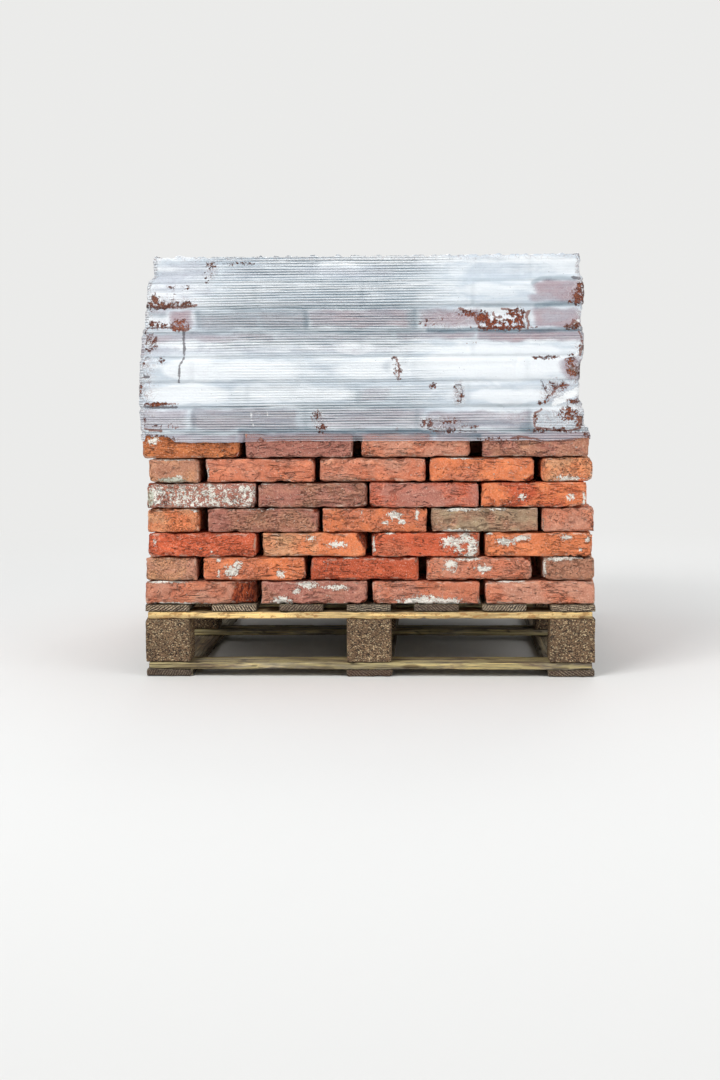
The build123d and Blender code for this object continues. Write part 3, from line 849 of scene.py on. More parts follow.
def brick_material(tones):
    """Hand-moulded clay: two tones mixed, sandy specks, painted shade in the folds and on the low relief
    with painted light on the high relief, pale worn edges and old lime.
    """
    material, flow, shader = new_material("old_brick")
    local = attribute(flow, "local", "Vector") + attribute(flow, "seed") * SEED_STEP
    coat, grit = clay(flow, local)
    broken = attribute(flow, "broken")
    rubble = flow.noise(local * (150.0, 90.0, 60.0), 1.0, 4.0, 0.7)
    raw_clay = flow.mix((0.13, 0.018, 0.010), (0.62, 0.125, 0.045), flow.ramp(rubble, 0.4, 0.6))
    coat.over(raw_clay, broken * 0.95)
    edge = flow.ramp(flow.most(attribute(flow, "edge"), 0.0), 0.0, 0.6)
    edge_noise = flow.ramp(flow.noise(local, 48.0, 4.0, 0.7), 0.48, 0.62)
    coat.over((0.86, 0.66, 0.52), edge * edge_noise * 0.7)
    # Painted shade in the folds, holes and creases
    dark = clay_cracks(flow, local)
    coat.over(tones.deep_shade, dark * 0.78)
    hill = flow.noise(local * (60.0, 90.0, 120.0), 1.0, 5.0, 0.72)
    # Painted shade on the low parts of the relief and painted light on its high parts
    coat.times(0.64, flow.ramp(hill, 0.3, 0.46, 0.42, 0.0))
    coat.times(1.25, flow.ramp(hill, 0.54, 0.7, 0.0, 0.6))
    ragged, crumbs = flow.noise(local, 120.0, 5.0, 0.72), flow.noise(local, 340.0, 3.0, 0.7)
    lime = old_lime(flow, local, ragged, crumbs)
    lime_tone = flow.mix(tones.lime, coat.colour, flow.ramp(crumbs, 0.34, 0.46, 0.45, 0.0))
    coat.over(lime_tone, lime * 0.97)
    moss = flow.ramp(attribute(flow, "moss") + (ragged - 0.5) * 1.4, 0.42, 0.8)
    coat.over(tones.moss, moss * 0.5)
    coat.onto(shader, 0.93, Specular_IOR_Level=0.25)
    height = hill * 1.2 + grit * 0.55 - dark * 1.6 + lime * 0.9 + rubble * broken * 2.0
    bump(flow, shader, height, 0.0036)
    return material


def core_material(tones):
    """The plain core behind the joints: clay at half brightness with faint darker courses, both painted
    shade.
    """
    material, flow, shader = new_material("hidden_brick")
    place = object_place(flow)
    rows = flow.maths("ABSOLUTE", flow.maths("FRACT", flow.parts(place)[2] * (1 / COURSE_RISE)) - 0.5)
    cloud = flow.ramp(flow.noise(place, 30.0, 4.0, 0.6), 0.35, 0.65)
    # Painted shade: the clay tones at half brightness, darker still at each course
    coat = Coat(flow, [c * 0.5 for c in tones.red], [c * 0.6 for c in tones.brown], cloud)
    coat.over(tones.deep_shade, flow.ramp(rows, 0.4, 0.5))
    coat.onto(shader, 0.95)
    bump(flow, shader, flow.noise(place, 160.0, 4.0, 0.65), 0.003)
    return material


def sawn_end(flow, tones, parts, shifted, seed, cloud, damp):
    """A board's sawn end, as its tone and its height: slanting rings and crackle."""
    slant = flow.maths("SINE", seed * 5.0)
    ring = (parts[1] * slant + parts[2] * (1.4 - flow.maths("ABSOLUTE", slant))) * 190.0
    ring = ring + flow.noise(shifted, 30.0, 3.0, 0.6) * 2.0
    ring_wave = flow.maths("SINE", ring * math.tau)
    crackle = flow.noise(shifted * (40.0, 330.0, 330.0), 1.0, 4.0, 0.75)
    streaky = ring_wave * 0.12 + crackle
    ruddy = flow.maths("FRACT", seed * 3.37)
    hatched = flow.maths("FRACT", seed * 5.13) * 0.7 + 0.4
    coat = Coat(flow, tones.end, (0.17, 0.086, 0.048), ruddy)
    coat.over((0.12, 0.15, 0.145), flow.ramp(cloud, 0.46, 0.6, 0.0, 0.3))
    coat.over((0.74, 0.60, 0.40), flow.ramp(streaky, 0.52, 0.64) * hatched)
    coat.over(tones.wet_and_shade, flow.ramp(streaky, 0.36, 0.5, 0.97, 0.0))
    coat.over((0.060, 0.026, 0.016), damp)
    return coat.colour, ring_wave * 0.25 + crackle * 1.6


def wood_material(name, tones, base, second, algae, specks, damp=0.0):
    """A board: grain along its length, knots, dark patches, painted shade on the upward faces of fresh
    boards and in the splits, and crossed rings on its sawn ends.
    """
    material, flow, shader = new_material(name)
    local, seed = attribute(flow, "local", "Vector"), attribute(flow, "seed")
    shifted = local + seed * (1.3, 0.11, 0.17)
    facing, parts = flow.parts(attribute(flow, "facing", "Vector")), flow.parts(local)
    grain = flow.noise(shifted * (6.0, 190.0, 190.0), 1.0, 5.0, 0.66, 0.5)
    fine = flow.noise(shifted * (16.0, 440.0, 440.0), 1.0, 4.0, 0.66)
    cloud = flow.noise(shifted * (5.0, 14.0, 14.0), 1.0, 3.0, 0.6)
    patch = flow.noise(shifted * (9.0, 60.0, 60.0), 1.0, 4.0, 0.66, 0.4)
    dots = flow.noise(shifted * (62.0, 170.0, 170.0), 1.0, 3.0, 0.72)
    coat = Coat(flow, base, second, flow.ramp(cloud, 0.38, 0.64))
    coat.over(tones.algae, flow.ramp(patch, 0.36, 0.6, 0.0, algae))
    coat.times((0.32, 0.28, 0.24), flow.ramp(grain, 0.38, 0.52, 0.9 - 0.45 * specks, 0.0))
    coat.times((1.9, 1.8, 1.5), flow.ramp(grain, 0.52, 0.66, 0.0, 0.85 - 0.4 * specks))
    coat.times(0.55, flow.ramp(fine, 0.36, 0.5, 0.8, 0.0))
    coat.over(tones.wet_and_shade, flow.ramp(patch, 0.28, 0.41, 0.9 * (1 - algae * 0.3), 0.0) * (1.0 - specks))
    coat.over((0.40, 0.18, 0.05), flow.ramp(dots, 0.53, 0.6) * specks)
    knot = flow.ramp(flow.cells(shifted * (7.0, 26.0, 26.0), 1.0), 0.1, 0.2, 1.0, 0.0)
    coat.times((0.36, 0.3, 0.26), knot * 0.85)
    at_end = flow.ramp(flow.maths("ABSOLUTE", facing[0]), 0.6, 0.8)
    end_tone, end_height = sawn_end(flow, tones, parts, shifted, seed, cloud, damp)
    coat.over(end_tone, at_end * (1.0 - specks * 0.8))
    # Painted shade on the upward faces of the fresh boards
    top_shade = flow.ramp(flow.noise(shifted, 18.0, 3.0, 0.6), 0.3, 0.6, 1.0, 0.75)
    coat.over(tones.wet_and_shade, flow.ramp(facing[2], 0.5, 0.85) * top_shade * specks)
    upper_edge = flow.ramp(parts[2], 0.0025, 0.008) * flow.ramp(patch, 0.4, 0.6)
    coat.over(tones.old, upper_edge * specks * 0.4)
    # Painted shade in the splits and pits
    crease = attribute(flow, "crease")
    coat.over(tones.wet_and_shade, flow.ramp(crease, 0.2, 0.8, 0.0, 0.6))
    coat.onto(shader, 0.82)
    bump(flow, shader, grain * 1.1 + fine * 0.4 + at_end * end_height - crease * 0.8, 0.0018)
    return material


def chipboard_material(tones):
    """Pressed blocks: flat chips of many browns in a dark ground, with pale ones among them."""
    material, flow, shader = new_material("pressed_chips")
    local = attribute(flow, "local", "Vector") + attribute(flow, "seed") * 0.7
    bent = local + (flow.noise(local, 90.0, 3.0, output="Color") - 0.5) * 0.008
    chip = flow.parts(flow.cells(bent * (1.0, 1.0, 1.5), 370.0, "Color"))
    border = flow.cells(bent * (1.0, 1.0, 1.5), 370.0)
    large = flow.parts(flow.cells(bent * (1.0, 1.0, 1.7), 230.0, "Color"))
    coat = Coat(flow, tones.glue, tones.chip, flow.ramp(chip[0], 0.0, 0.9, 0.15, 1.0))
    coat.over(tones.glue, flow.ramp(large[0], 0.6, 0.9, 0.0, 0.55))
    coat.over((0.92, 0.72, 0.42), flow.ramp(chip[1], 0.85, 0.9) * 0.92)
    coat.over((0.84, 0.66, 0.40), flow.ramp(large[1], 0.93, 0.96) * 0.75)
    coat.over(tones.wet_and_shade, flow.ramp(chip[2], 0.68, 0.82) * 0.92)
    coat.over(tones.wet_and_shade, flow.ramp(border, 0.4, 0.7, 0.0, 0.55))
    coat.times(0.62, flow.ramp(flow.noise(local, 17.0, 4.0, 0.65), 0.42, 0.64, 0.0, 0.7))
    coat.onto(shader, 0.88)
    bump(flow, shader, chip[0] + border * -0.8, 0.002)
    return material


FILM_FIELDS = ("contact", "grey", "bare", "groove", "rust", "ink", "pale", "shade", "pleated", "thick",
               "rise", "crinkled")
FILM_GLINT = (0.9, 0.93, 0.96)


class FilmFinish:
    """The stretch film: white where it is free, lilac and pink against brick, clear where bare."""

    def __init__(self, tones):
        self.tones = tones
        self.material, self.flow, self.shader = new_material("stretch_film")
        flow = self.flow
        self.place = object_place(flow)
        self.at = {name: attribute(flow, name) for name in FILM_FIELDS}
        self.band = self.stretched(5.0, 70.0, 3.0, 0.6, 0.3)
        self.streak = self.stretched(5.5, 240.0, 3.0, 0.6, 0.3)
        self.wide = self.stretched(2.6, 42.0, 3.0, 0.6, 0.5)
        self.cloud = self.stretched(10.0, 26.0, 4.0, 0.65, 0.8)
        self.folds = self.stretched(34.0, 52.0, 3.0, 0.6, 2.2)
        self.ragged = flow.noise(self.place, 96.0, 5.0, 0.76)
        self.crumbs = flow.noise(self.place, 260.0, 3.0, 0.7)
        self.hold = self.at["contact"] + (self.cloud - 0.5) * 0.55 + (self.wide - 0.5) * 0.5
        self.layers()
        self.pleats()
        self.seams()
        self.crinkles()
        self.marks()
        self.coat.onto(self.shader, 0.34, IOR=1.48, Specular_IOR_Level=0.4)
        self.see_through()
        fine = self.stretched(60.0, 110.0, 4.0, 0.7, 0.8)
        height = (self.wave * self.line_here * -0.4 + self.streak * self.at["pleated"] * 0.45
                  + self.band * 0.5 + fine * 0.45
                  + self.folds * self.at["crinkled"] * 1.6 - self.opened * 0.5)
        bump(flow, self.shader, height, 0.0034, 0.9)

    def stretched(self, across, up, *detail):
        """Noise with one scale round the load and another up it."""
        return self.flow.noise(self.place * (across, across, up), 1.0, *detail)

    def layers(self):
        """Few or many layers, the brick behind them, and the shade below each course's edge."""
        flow, at, tones, cloud = self.flow, self.at, self.tones, self.cloud
        thick_here = flow.ramp(at["thick"] + (cloud - 0.5) * 0.7, 0.3, 0.75)
        layers = flow.ramp(self.wide * 0.55 + cloud * 0.45, 0.4, 0.6)
        coat = Coat(flow, tones.white, tones.free, layers * (1.0 - thick_here * 0.9))
        coat.over(tones.lilac, flow.ramp(self.hold, 0.1, 0.8))
        blush = flow.ramp(self.stretched(15.0, 34.0, 4.0, 0.65), 0.4, 0.62)
        blush = blush * flow.ramp(at["contact"], 0.3, 0.85)
        coat.over(tones.pink, blush * 0.7)
        # Painted shade in the grey zones
        coat.over(tones.slate, flow.ramp(at["grey"] + (cloud - 0.5) * 0.6, 0.1, 0.85) * 0.85)
        shade = flow.ramp(at["rise"], 0.0, 0.42, 1.0, 0.0) * flow.ramp(cloud, 0.3, 0.65, 0.9, 0.35)
        coat.over(flow.mix(coat.colour, tones.teal, 0.5), shade * 0.55)
        self.coat = coat

    def pleats(self):
        """Fine dark and pale lines round the load, where it is pleated: painted shade in the pleats' hollows
        and painted highlight on their ridges.
        """
        flow, coat, tones, pleated = self.flow, self.coat, self.tones, self.at["pleated"]
        drift = self.stretched(2.4, 16.0, 2.0, 0.5)
        turns_up = flow.parts(self.place)[2] * (math.tau / tones.pleat_step)
        self.wave = flow.maths("SINE", turns_up + drift * 9.0)
        # Painted shade along the low bands of the pleats
        teal_band = flow.ramp(self.band, 0.32, 0.5, 0.45, 0.0) * pleated
        coat.over(flow.mix(coat.colour, tones.teal, 0.6), teal_band)
        self.line_here = flow.ramp(self.band, 0.3, 0.52) * pleated
        broken_up = flow.ramp(self.stretched(9.0, 190.0, 2.0, 0.6), 0.36, 0.52)
        dark = flow.ramp(self.wave, 0.4, 0.95) * self.line_here * broken_up
        self.dark_line = flow.most(dark, flow.ramp(self.streak, 0.27, 0.38, 0.7, 0.0) * pleated)
        pale = flow.ramp(self.wave, 0.1, -0.6) * self.line_here
        pale = flow.most(pale, flow.ramp(self.streak, 0.6, 0.7) * pleated)
        # Painted shade in the pleats' hollows, then painted highlight on their ridges
        coat.over(tones.teal, self.dark_line * 0.95)
        coat.over((0.90, 0.935, 0.96), pale * 0.5)

    def seams(self):
        """Bluish painted shade over the beds and joints, and dust where the film lies on brick."""
        flow, at, coat, cloud = self.flow, self.at, self.coat, self.cloud
        # Painted shade in the grooves where the film dips into beds and joints
        coat.over(self.tones.teal, at["groove"] * flow.ramp(cloud, 0.3, 0.62, 0.9, 0.3))
        coat.over(self.tones.teal, at["shade"] * flow.ramp(cloud, 0.3, 0.62, 0.85, 0.5))
        dust = flow.ramp(flow.noise(self.place, 300.0, 3.0, 0.75), 0.34, 0.48, 0.6, 0.0)
        coat.times((0.72, 0.66, 0.7), dust * flow.ramp(at["contact"], 0.0, 0.5, 0.2, 1.0))

    def crinkles(self):
        """Rusty folds, glints and dark crackle, where the film is crinkled: the glints are painted
        highlights and the crackle is painted shade.
        """
        flow, coat, crinkled = self.flow, self.coat, self.at["crinkled"]
        coat.over(self.tones.rust, flow.line(self.folds, 0.5, 0.03) * crinkled * 0.8)
        coat.over(FILM_GLINT, flow.line(self.folds, 0.545, 0.026) * flow.most(crinkled, 0.12) * 0.85)
        # Painted shade in the fine creases of the crinkles
        crackle = flow.line(self.stretched(85.0, 110.0, 4.0, 0.7, 1.6), 0.5, 0.04)
        coat.over((0.16, 0.12, 0.13), crackle * flow.ramp(crinkled, 0.25, 1.0) * 0.75)

    def marks(self):
        """Pale lines of painted highlight, dark and rust-coloured lines, torn spots with a rusty rim and
        painted shade on the brick behind them, and a few specks.
        """
        flow, at, coat = self.flow, self.at, self.coat
        ragged, crumbs = self.ragged - 0.5, self.crumbs - 0.5
        torn = at["bare"] * 0.86 + (ragged * 3.7 + crumbs * 1.7) * flow.ramp(at["bare"], 0.0, 0.3)
        self.opened = flow.ramp(torn, 0.52, 0.6)
        rim = flow.ramp(torn, 0.36, 0.52) * (1.0 - self.opened)
        shake = ragged * 1.1 + crumbs * 0.9

        def mark(kind, torn_up, low, high):
            """A kind of line with an uneven edge."""
            return flow.ramp(at[kind] + shake * flow.ramp(at[kind], 0.0, 0.3, 0.0, torn_up), low, high)

        # Painted highlights along folds
        coat.over((0.93, 0.95, 0.96), mark("pale", 1.4, 0.45, 0.75) * 0.9)
        coat.over((0.075, 0.062, 0.072), mark("ink", 0.9, 0.5, 0.75) * 0.78)
        coat.over(self.tones.rust, flow.most(rim * 0.6, mark("rust", 1.3, 0.5, 0.7) * 0.8))
        # Painted shade: the brick behind a torn spot is darkened as if in shadow
        coat.over((0.15, 0.050, 0.036), self.opened)
        specks = flow.ramp(flow.cells(self.place, 105.0), 0.05, 0.11, 1.0, 0.0)
        specks = specks * flow.ramp(flow.noise(self.place, 23.0, 2.0), 0.52, 0.6)
        coat.over((0.03, 0.03, 0.04), specks * 0.7)

    def see_through(self):
        """How much of what is behind the film shows: most where it is torn or lies on brick."""
        flow, at = self.flow, self.at
        alpha = 0.97 - flow.ramp(self.hold, 0.2, 0.9, 0.0, 0.14) - self.dark_line * 0.1 - at["groove"] * 0.1
        alpha = alpha - flow.ramp(at["contact"], 0.85, 1.0, 0.0, 0.34)
        alpha = alpha * (1.0 - self.opened * flow.ramp(self.crumbs, 0.38, 0.62, 0.15, 0.75))
        flow.feed(self.shader.inputs["Alpha"], flow.most(alpha, 0.03))


def nail_material(tones):
    """Rusty steel."""
    material, flow, shader = new_material("rusty_nail")
    rust = flow.noise(object_place(flow), 700.0, 3.0, 0.65)
    coat = Coat(flow, tones.nail, (0.24, 0.11, 0.05), flow.ramp(rust, 0.4, 0.62))
    coat.onto(shader, 0.7, Metallic=0.35)
    bump(flow, shader, rust, 0.0004)
    return material


def seen_directly(flow):
    """1 for what the camera sees, by itself, in gloss or through the film, and 0 for its light."""
    path = flow.node("ShaderNodeLightPath")
    return flow.most(*(flow.wire(path, f"Is {kind} Ray") for kind in ("Camera", "Glossy", "Transmission")))


def floor_material(pale):
    """A pale floor with the load's shadow, which turns into an even pale backdrop further off."""
    material, flow, shader = new_material("pale_floor")
    flow.feed(shader.inputs["Base Color"], (*pale, 1.0))
    shader.inputs["Roughness"].default_value = 0.9
    away = flow.maths("LENGTH", object_place(flow) * (1.0, 1.0, 2.0))
    glow = flow.node("ShaderNodeEmission", {"Color": (*pale, 1.0), "Strength": BACKDROP_GLOW})
    either = flow.node("ShaderNodeMixShader", {0: seen_directly(flow) * flow.ramp(away, 0.9, 3.4),
                                               1: shader.outputs[0], 2: glow.outputs[0]})
    flow.feed(material.node_tree.nodes["Material Output"].inputs["Surface"], flow.wire(either))
    return material


def front_row(blocks):
    """The bricks of a course that show on its front, from the left."""
    front = min(block.low[1] for block in blocks)
    return sorted((b for b in blocks if b.low[1] < front + EDGE_ZONE), key=lambda b: b.centre[0])


def pick_tones(draw):
    """Two tones of clay for a brick that has none listed."""
    common = ("salmon", "orange", "dusty", "salmon", "rose", "red", "orange", "tan")
    rare = ("mauve", "brown", "mauve", "olive")
    first = draw.choice(rare if draw.random() < 0.2 else common)
    return first, draw.choice(common + rare[:2])


def splash_field(points, splashes):
    """How much of a splash lies on each point, from splashes as (x, z, half x, half z)."""
    field = np.zeros(len(points))
    for x, z, half_x, half_z in splashes:
        far = np.hypot((points[:, 0] - x) / half_x, (points[:, 1] - z) / half_z)
        field = np.maximum(field, np.clip(1.35 - 0.85 * far, 0, 1))
    return field


def stray_lime(points, half, draw):
    """A few splashes of lime at drawn places on a brick's faces and edges."""
    field = np.zeros(len(points))
    for _ in range(draw.randint(1, 4)):
        spot = np.array([draw.uniform(-h, h) for h in half])
        axis = draw.randrange(3)
        spot[axis] = math.copysign(half[axis], spot[axis])
        reach = np.array((draw.uniform(8, 44), draw.uniform(6, 26), draw.uniform(4, 15)))
        far = np.linalg.norm((points - spot) / reach, axis=1)
        field = np.maximum(field, np.clip(1.3 - 0.85 * far, 0, 1))
    return field


def shown_splashes(block, table, brick):
    """The splashes that a table gives a front brick, in mm."""
    width, high = (block.high - block.low)[[0, 2]] / MM
    return [(block.low[0] / MM + x * width, block.low[2] / MM + z * high, half_x, half_z)
            for course, place, x, z, half_x, half_z in table if (course, place) == brick]


def paint_course(mesh, number, blocks, row, settings, draw):
    """Gives each point of a course its tones, its lime and its moss. The row is its front."""
    total = len(mesh.vertices)
    each = total // len(blocks)
    place = fetch(mesh.vertices, "co", total)
    local = fetch(mesh.attributes["local"].data, "vector", total)
    first, second = np.ones((total, 4)), np.ones((total, 4))
    lime, moss = np.zeros(total), np.zeros(total)
    for i, block in enumerate(blocks):
        mine = slice(i * each, (i + 1) * each)
        brick = (number, row.index(block)) if block in row and number in FRONT_TONES else None
        tones = FRONT_TONES[number][brick[1]] if brick else pick_tones(draw)
        strength = draw.uniform(0.9, 1.08)
        first[mine, :3] = np.array(getattr(settings, tones[0])) * strength
        second[mine, :3] = np.array(getattr(settings, tones[1])) * strength
        if brick:
            facing_front = np.clip((block.low[1] + EDGE_ZONE - place[mine, 1]) / 0.012, 0, 1)
            flat = place[mine][:, [0, 2]] / MM
            thinned = WASH_STRENGTH if brick == WHITEWASHED else 1
            lime[mine] = splash_field(flat, shown_splashes(block, LIME, brick)) * facing_front * thinned
            moss[mine] = splash_field(flat, shown_splashes(block, MOSS, brick)) * facing_front
            continue
        if draw.random() < 0.6:
            lime[mine] = stray_lime(local[mine] / MM, block.size / 2 * 1000, draw)
        if draw.random() < 0.1:
            lime[mine] = np.maximum(lime[mine], draw.uniform(0.3, 0.55))
    put(mesh, "tone", first, "FLOAT_COLOR")
    put(mesh, "second_tone", second, "FLOAT_COLOR")
    put(mesh, "lime", lime)
    put(mesh, "moss", moss)


def chip(block, normal, depth):
    """Cuts a corner off a block, seen from the way that the cut faces."""
    block.cut = (normal, float(block.reach_along(normal)) - depth)


def chip_bricks(number, blocks, row, draw):
    """Knocks a corner off some bricks that the frame has whole, and off those that the front shows."""
    for block in blocks:
        if block.cut is NO_CUT and draw.random() < 0.45:
            normal = np.array((draw.choice((-1, 1)) * draw.uniform(0.4, 0.9), draw.uniform(-0.9, -0.4),
                               draw.choice((-1, 1)) * draw.uniform(0.5, 1.0)))
            chip(block, normal / np.linalg.norm(normal), draw.uniform(0.007, 0.013))
    for (course, place), (normal, depth) in SHOWN_CHIPS.items():
        if course == number:
            chip(row[place], np.array(normal), depth)


def at_corner(block, low, high):
    """Whether a brick stands at one of the four corners of its course."""
    return all(block.low[a] < low[a] + EDGE_ZONE or block.high[a] > high[a] - EDGE_ZONE for a in (0, 1))


def brick_cuts(number, corner):
    """How finely a brick's length, width and height are divided: most where it shows most."""
    if number <= FIRST_WRAPPED:
        return (46, 20, 13) if corner else (52, 9, 13)
    if number == TOP_COURSE:
        return (36, 13, 8)
    return (26, 8, 7) if corner else (26, 5, 7)


def brick_wear(settings):
    """The inputs of the block tree that all bricks share."""
    return {
        "Settling": settings.settling, "Edge": settings.worn_edge,
        "Sag": (settings.sag * 0.8, settings.sag * 0.7, settings.sag * 0.55), "Sag Scale": 17.0,
        "Roughness": settings.roughness, "Roughness Scale": (34.0, 50.0, 66.0),
        "Crease": settings.crease, "Crease Scale": (14.0, 26.0, 38.0), "Pit": settings.pit,
    }


def lay_course(number, node, tree, clay_finish, settings):
    draw = random.Random(100 + number)
    blocks = blocks_of(node)
    row = front_row(blocks)
    chip_bricks(number, blocks, row, draw)
    low = np.array([block.low for block in blocks]).min(0)
    high = np.array([block.high for block in blocks]).max(0)
    pieces = []
    for corner in (True, False):
        group = [block for block in blocks if at_corner(block, low, high) == corner]
        values = {"Cuts": brick_cuts(number, corner), "Crowding": (0.4, 0.45 if corner else 0.75, 0.4),
                  "Material": clay_finish, **brick_wear(settings)}
        part = grown(f"{node}_part", seed_points(group, draw), tree, values)
        paint_course(part.data, number, group, row, settings, draw)
        clean_block_mesh(part.data)
        pieces.append(part)
    dress(joined(pieces, f"bricks_course_{number:02d}"), "brick", node)


class SCENE_OT_bricks(bpy.types.Operator):
    """Grows the worn bricks of every course"""

    bl_idname = "brick_pallet.bricks"
    bl_label = "Lay Bricks"

    def execute(self, context):
        settings = context.scene.brick_pallet_bricks
        tree, clay_finish = worn_block_tree(), brick_material(settings)
        for number, node in enumerate(COURSES, 1):
            lay_course(number, node, tree, clay_finish, settings)
        core = NODES["brick_core"]
        core.data.materials.clear()
        core.data.materials.append(core_material(settings))
        return {"FINISHED"}


def block_wear(node, settings):
    """The inputs of the block tree for a pressed block."""
    return {
        "Cuts": (24, 20, 24) if "front" in node else (16, 14, 16), "Crowding": (0.3, 0.3, 0.3),
        "Settling": WOOD_SETTLING, "Edge": settings.worn_edge * 1.8, "Sag": (settings.sag * 0.5,) * 3,
        "Sag Scale": 12.0, "Roughness": settings.fibre * 1.3, "Roughness Scale": (160.0, 160.0, 160.0),
        "Crease": 0.0, "Crease Scale": (4.0, 55.0, 55.0), "Pit": 0.0022,
    }


def board_wear(node, settings):
    """The inputs of the block tree for a board."""
    return {
        "Cuts": (150, 12, 5) if node.endswith("front") else (100, 10, 4), "Crowding": (0.2, 0.5, 0.4),
        "Settling": WOOD_SETTLING, "Edge": settings.worn_edge,
        "Sag": (settings.sag, settings.sag * 1.4, settings.sag * 0.6), "Sag Scale": 12.0,
        "Roughness": settings.fibre, "Roughness Scale": (12.0, 130.0, 130.0),
        "Crease": settings.split, "Crease Scale": (4.0, 55.0, 55.0), "Pit": 0.0016,
    }


def wood_finishes(settings):
    """The material of each kind of board and block."""
    old, grey, fresh = settings.old, settings.grey, settings.fresh
    return {
        "old": wood_material("weathered_wood", settings, old, grey, 0.2, 0.0),
        "green": wood_material("weathered_green_wood", settings, old, grey, 0.85, 0.0),
        "damp": wood_material("damp_wood", settings, old, grey, 0.2, 0.0, 0.55),
        "fresh": wood_material("fresh_wood", settings, fresh, [c * 0.84 for c in fresh], 0.0, 0.75),
        "chips": chipboard_material(settings),
    }


def finish_of(node):
    """Which finish a board or block has, and its slot."""
    if node.startswith("block"):
        return "chips", "chipboard"
    if node == "stringer_front":
        return "fresh", "fresh_wood"
    if node.startswith("base_board"):
        return "green", "weathered_wood"
    if node.startswith("skid") or node in DAMP_BOARDS:
        return "damp", "weathered_wood"
    return "old", "weathered_wood"


class SCENE_OT_pallet(bpy.types.Operator):
    """Grows the boards and pressed blocks of the pallet"""

    bl_idname = "brick_pallet.pallet"
    bl_label = "Build Pallet"

    def execute(self, context):
        settings = context.scene.brick_pallet_wood
        tree, finishes = worn_block_tree(), wood_finishes(settings)
        for number, node in enumerate(sorted(NODES)):
            if node.startswith(("brick", "stretch")):
                continue
            draw = random.Random(500 + number)
            finish, slot = finish_of(node)
            wear, kind = (block_wear, "pressed_") if finish == "chips" else (board_wear, "worn_")
            block = blocks_of(node)
            block[0].cut = NO_CUT
            values = {**wear(node, settings), "Material": finishes[finish]}
            piece = grown(kind + node, seed_points(block, draw), tree, values)
            clean_block_mesh(piece.data)
            dress(piece, slot, node)
        return {"FINISHED"}


def nail_tree():
    """A hammered nail head with a slight dome on each point."""
    sizes = {"Head": "Float", "Height": "Float", "Material": "Material"}
    flow, group, size_of = shape_tree("nail_heads", sizes)
    cone = flow.node("GeometryNodeMeshCone", {
        "Vertices": 12, "Side Segments": 2, "Fill Segments": 2, "Radius Top": size_of["Head"] * 0.72,
        "Radius Bottom": size_of["Head"], "Depth": size_of["Height"]})
    leaning = {"Min": (-0.12, -0.12, -3.0), "Max": (0.12, 0.12, 3.0), "Seed": 7}
    tilt = flow.wire(flow.node("FunctionNodeRandomValue", leaning, data_type="FLOAT_VECTOR"))
    many = flow.node("GeometryNodeInstanceOnPoints", {"Points": group.outputs["Geometry"],
                                                      "Instance": cone.outputs["Mesh"], "Rotation": tilt})
    end_tree(flow, many.outputs[0], size_of["Material"])
    return flow.tree


def deck_nails():
    """Two nails where each deck board crosses a stringer, a little off their marks."""
    draw = random.Random(77)
    stringers = [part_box(f"stringer_{row}") for row in ROWS]
    for number in range(1, DECK_BOARDS + 1):
        low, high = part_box(f"deck_board_{number}")
        for first, last in stringers:
            for x_share, y_share in ((0.28, 0.3), (0.72, 0.7)):
                x = low.x + (high.x - low.x) * (x_share + draw.uniform(-0.06, 0.06))
                y = first.y + (last.y - first.y) * (y_share + draw.uniform(-0.08, 0.08))
                yield x, y, high.z - NAIL_HIGH


def base_nails():
    """Two nails from below where each skid board crosses a base board."""
    for row in ROWS:
        low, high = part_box(f"base_board_{row}")
        for side in ("left", "middle", "right"):
            first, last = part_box(f"skid_{side}")
            for x_share, y_share in ((0.2, 0.35), (0.8, 0.65)):
                x = first.x + (last.x - first.x) * x_share
                y = low.y + (high.y - low.y) * y_share
                yield x, y, first.z + NAIL_LIFT


class SCENE_OT_nails(bpy.types.Operator):
    """Sets nail heads where the deck and base boards cross the blocks"""

    bl_idname = "brick_pallet.nails"
    bl_label = "Set Nails"

    def execute(self, context):
        mesh = bpy.data.meshes.new("nail_places")
        mesh.from_pydata([*deck_nails(), *base_nails()], [], [])
        finish = nail_material(context.scene.brick_pallet_wood)
        values = {"Head": NAIL_HEAD, "Height": NAIL_HIGH, "Material": finish}
        dress(grown("nail_heads", mesh, nail_tree(), values), "weathered_wood")
        return {"FINISHED"}


def smooth_step(value, low, high):
    """0 at the low value, 1 at the high one and a soft step between them."""
    t = np.clip((value - low) / (high - low), 0, 1)
    return t * t * (3 - 2 * t)


def patchy(u, v, cell_u, cell_v, seed):
    """Smooth noise between -1 and 1 over two lengths, from drawn values on a grid."""
    grid = np.random.RandomState(seed).uniform(-1, 1, (64, 64))
    u, v = u / cell_u + 500.5, v / cell_v + 500.5
    i, j = np.floor(u).astype(int), np.floor(v).astype(int)
    a, b = smooth_step(u - i, 0, 1), smooth_step(v - j, 0, 1)
    i, j = i % 63, j % 63
    low = grid[i, j] * (1 - a) + grid[i + 1, j] * a
    high = grid[i, j + 1] * (1 - a) + grid[i + 1, j + 1] * a
    return low * (1 - b) + high * b


def wavy(values, seed, waves, low, high):
    """A sum of sines with drawn lengths and starts, between about -1 and 1."""
    draw = random.Random(seed)
    total = np.zeros_like(values)
    for _ in range(waves):
        total += np.sin(values * math.tau / draw.uniform(low, high) + draw.uniform(0, math.tau))
    return total / math.sqrt(waves)


def smoothed(line):
    """A line with its corners taken off."""
    padded = np.pad(line, 1, mode="edge")
    return (padded[:-2] + 2 * padded[1:-1] + padded[2:]) / 4


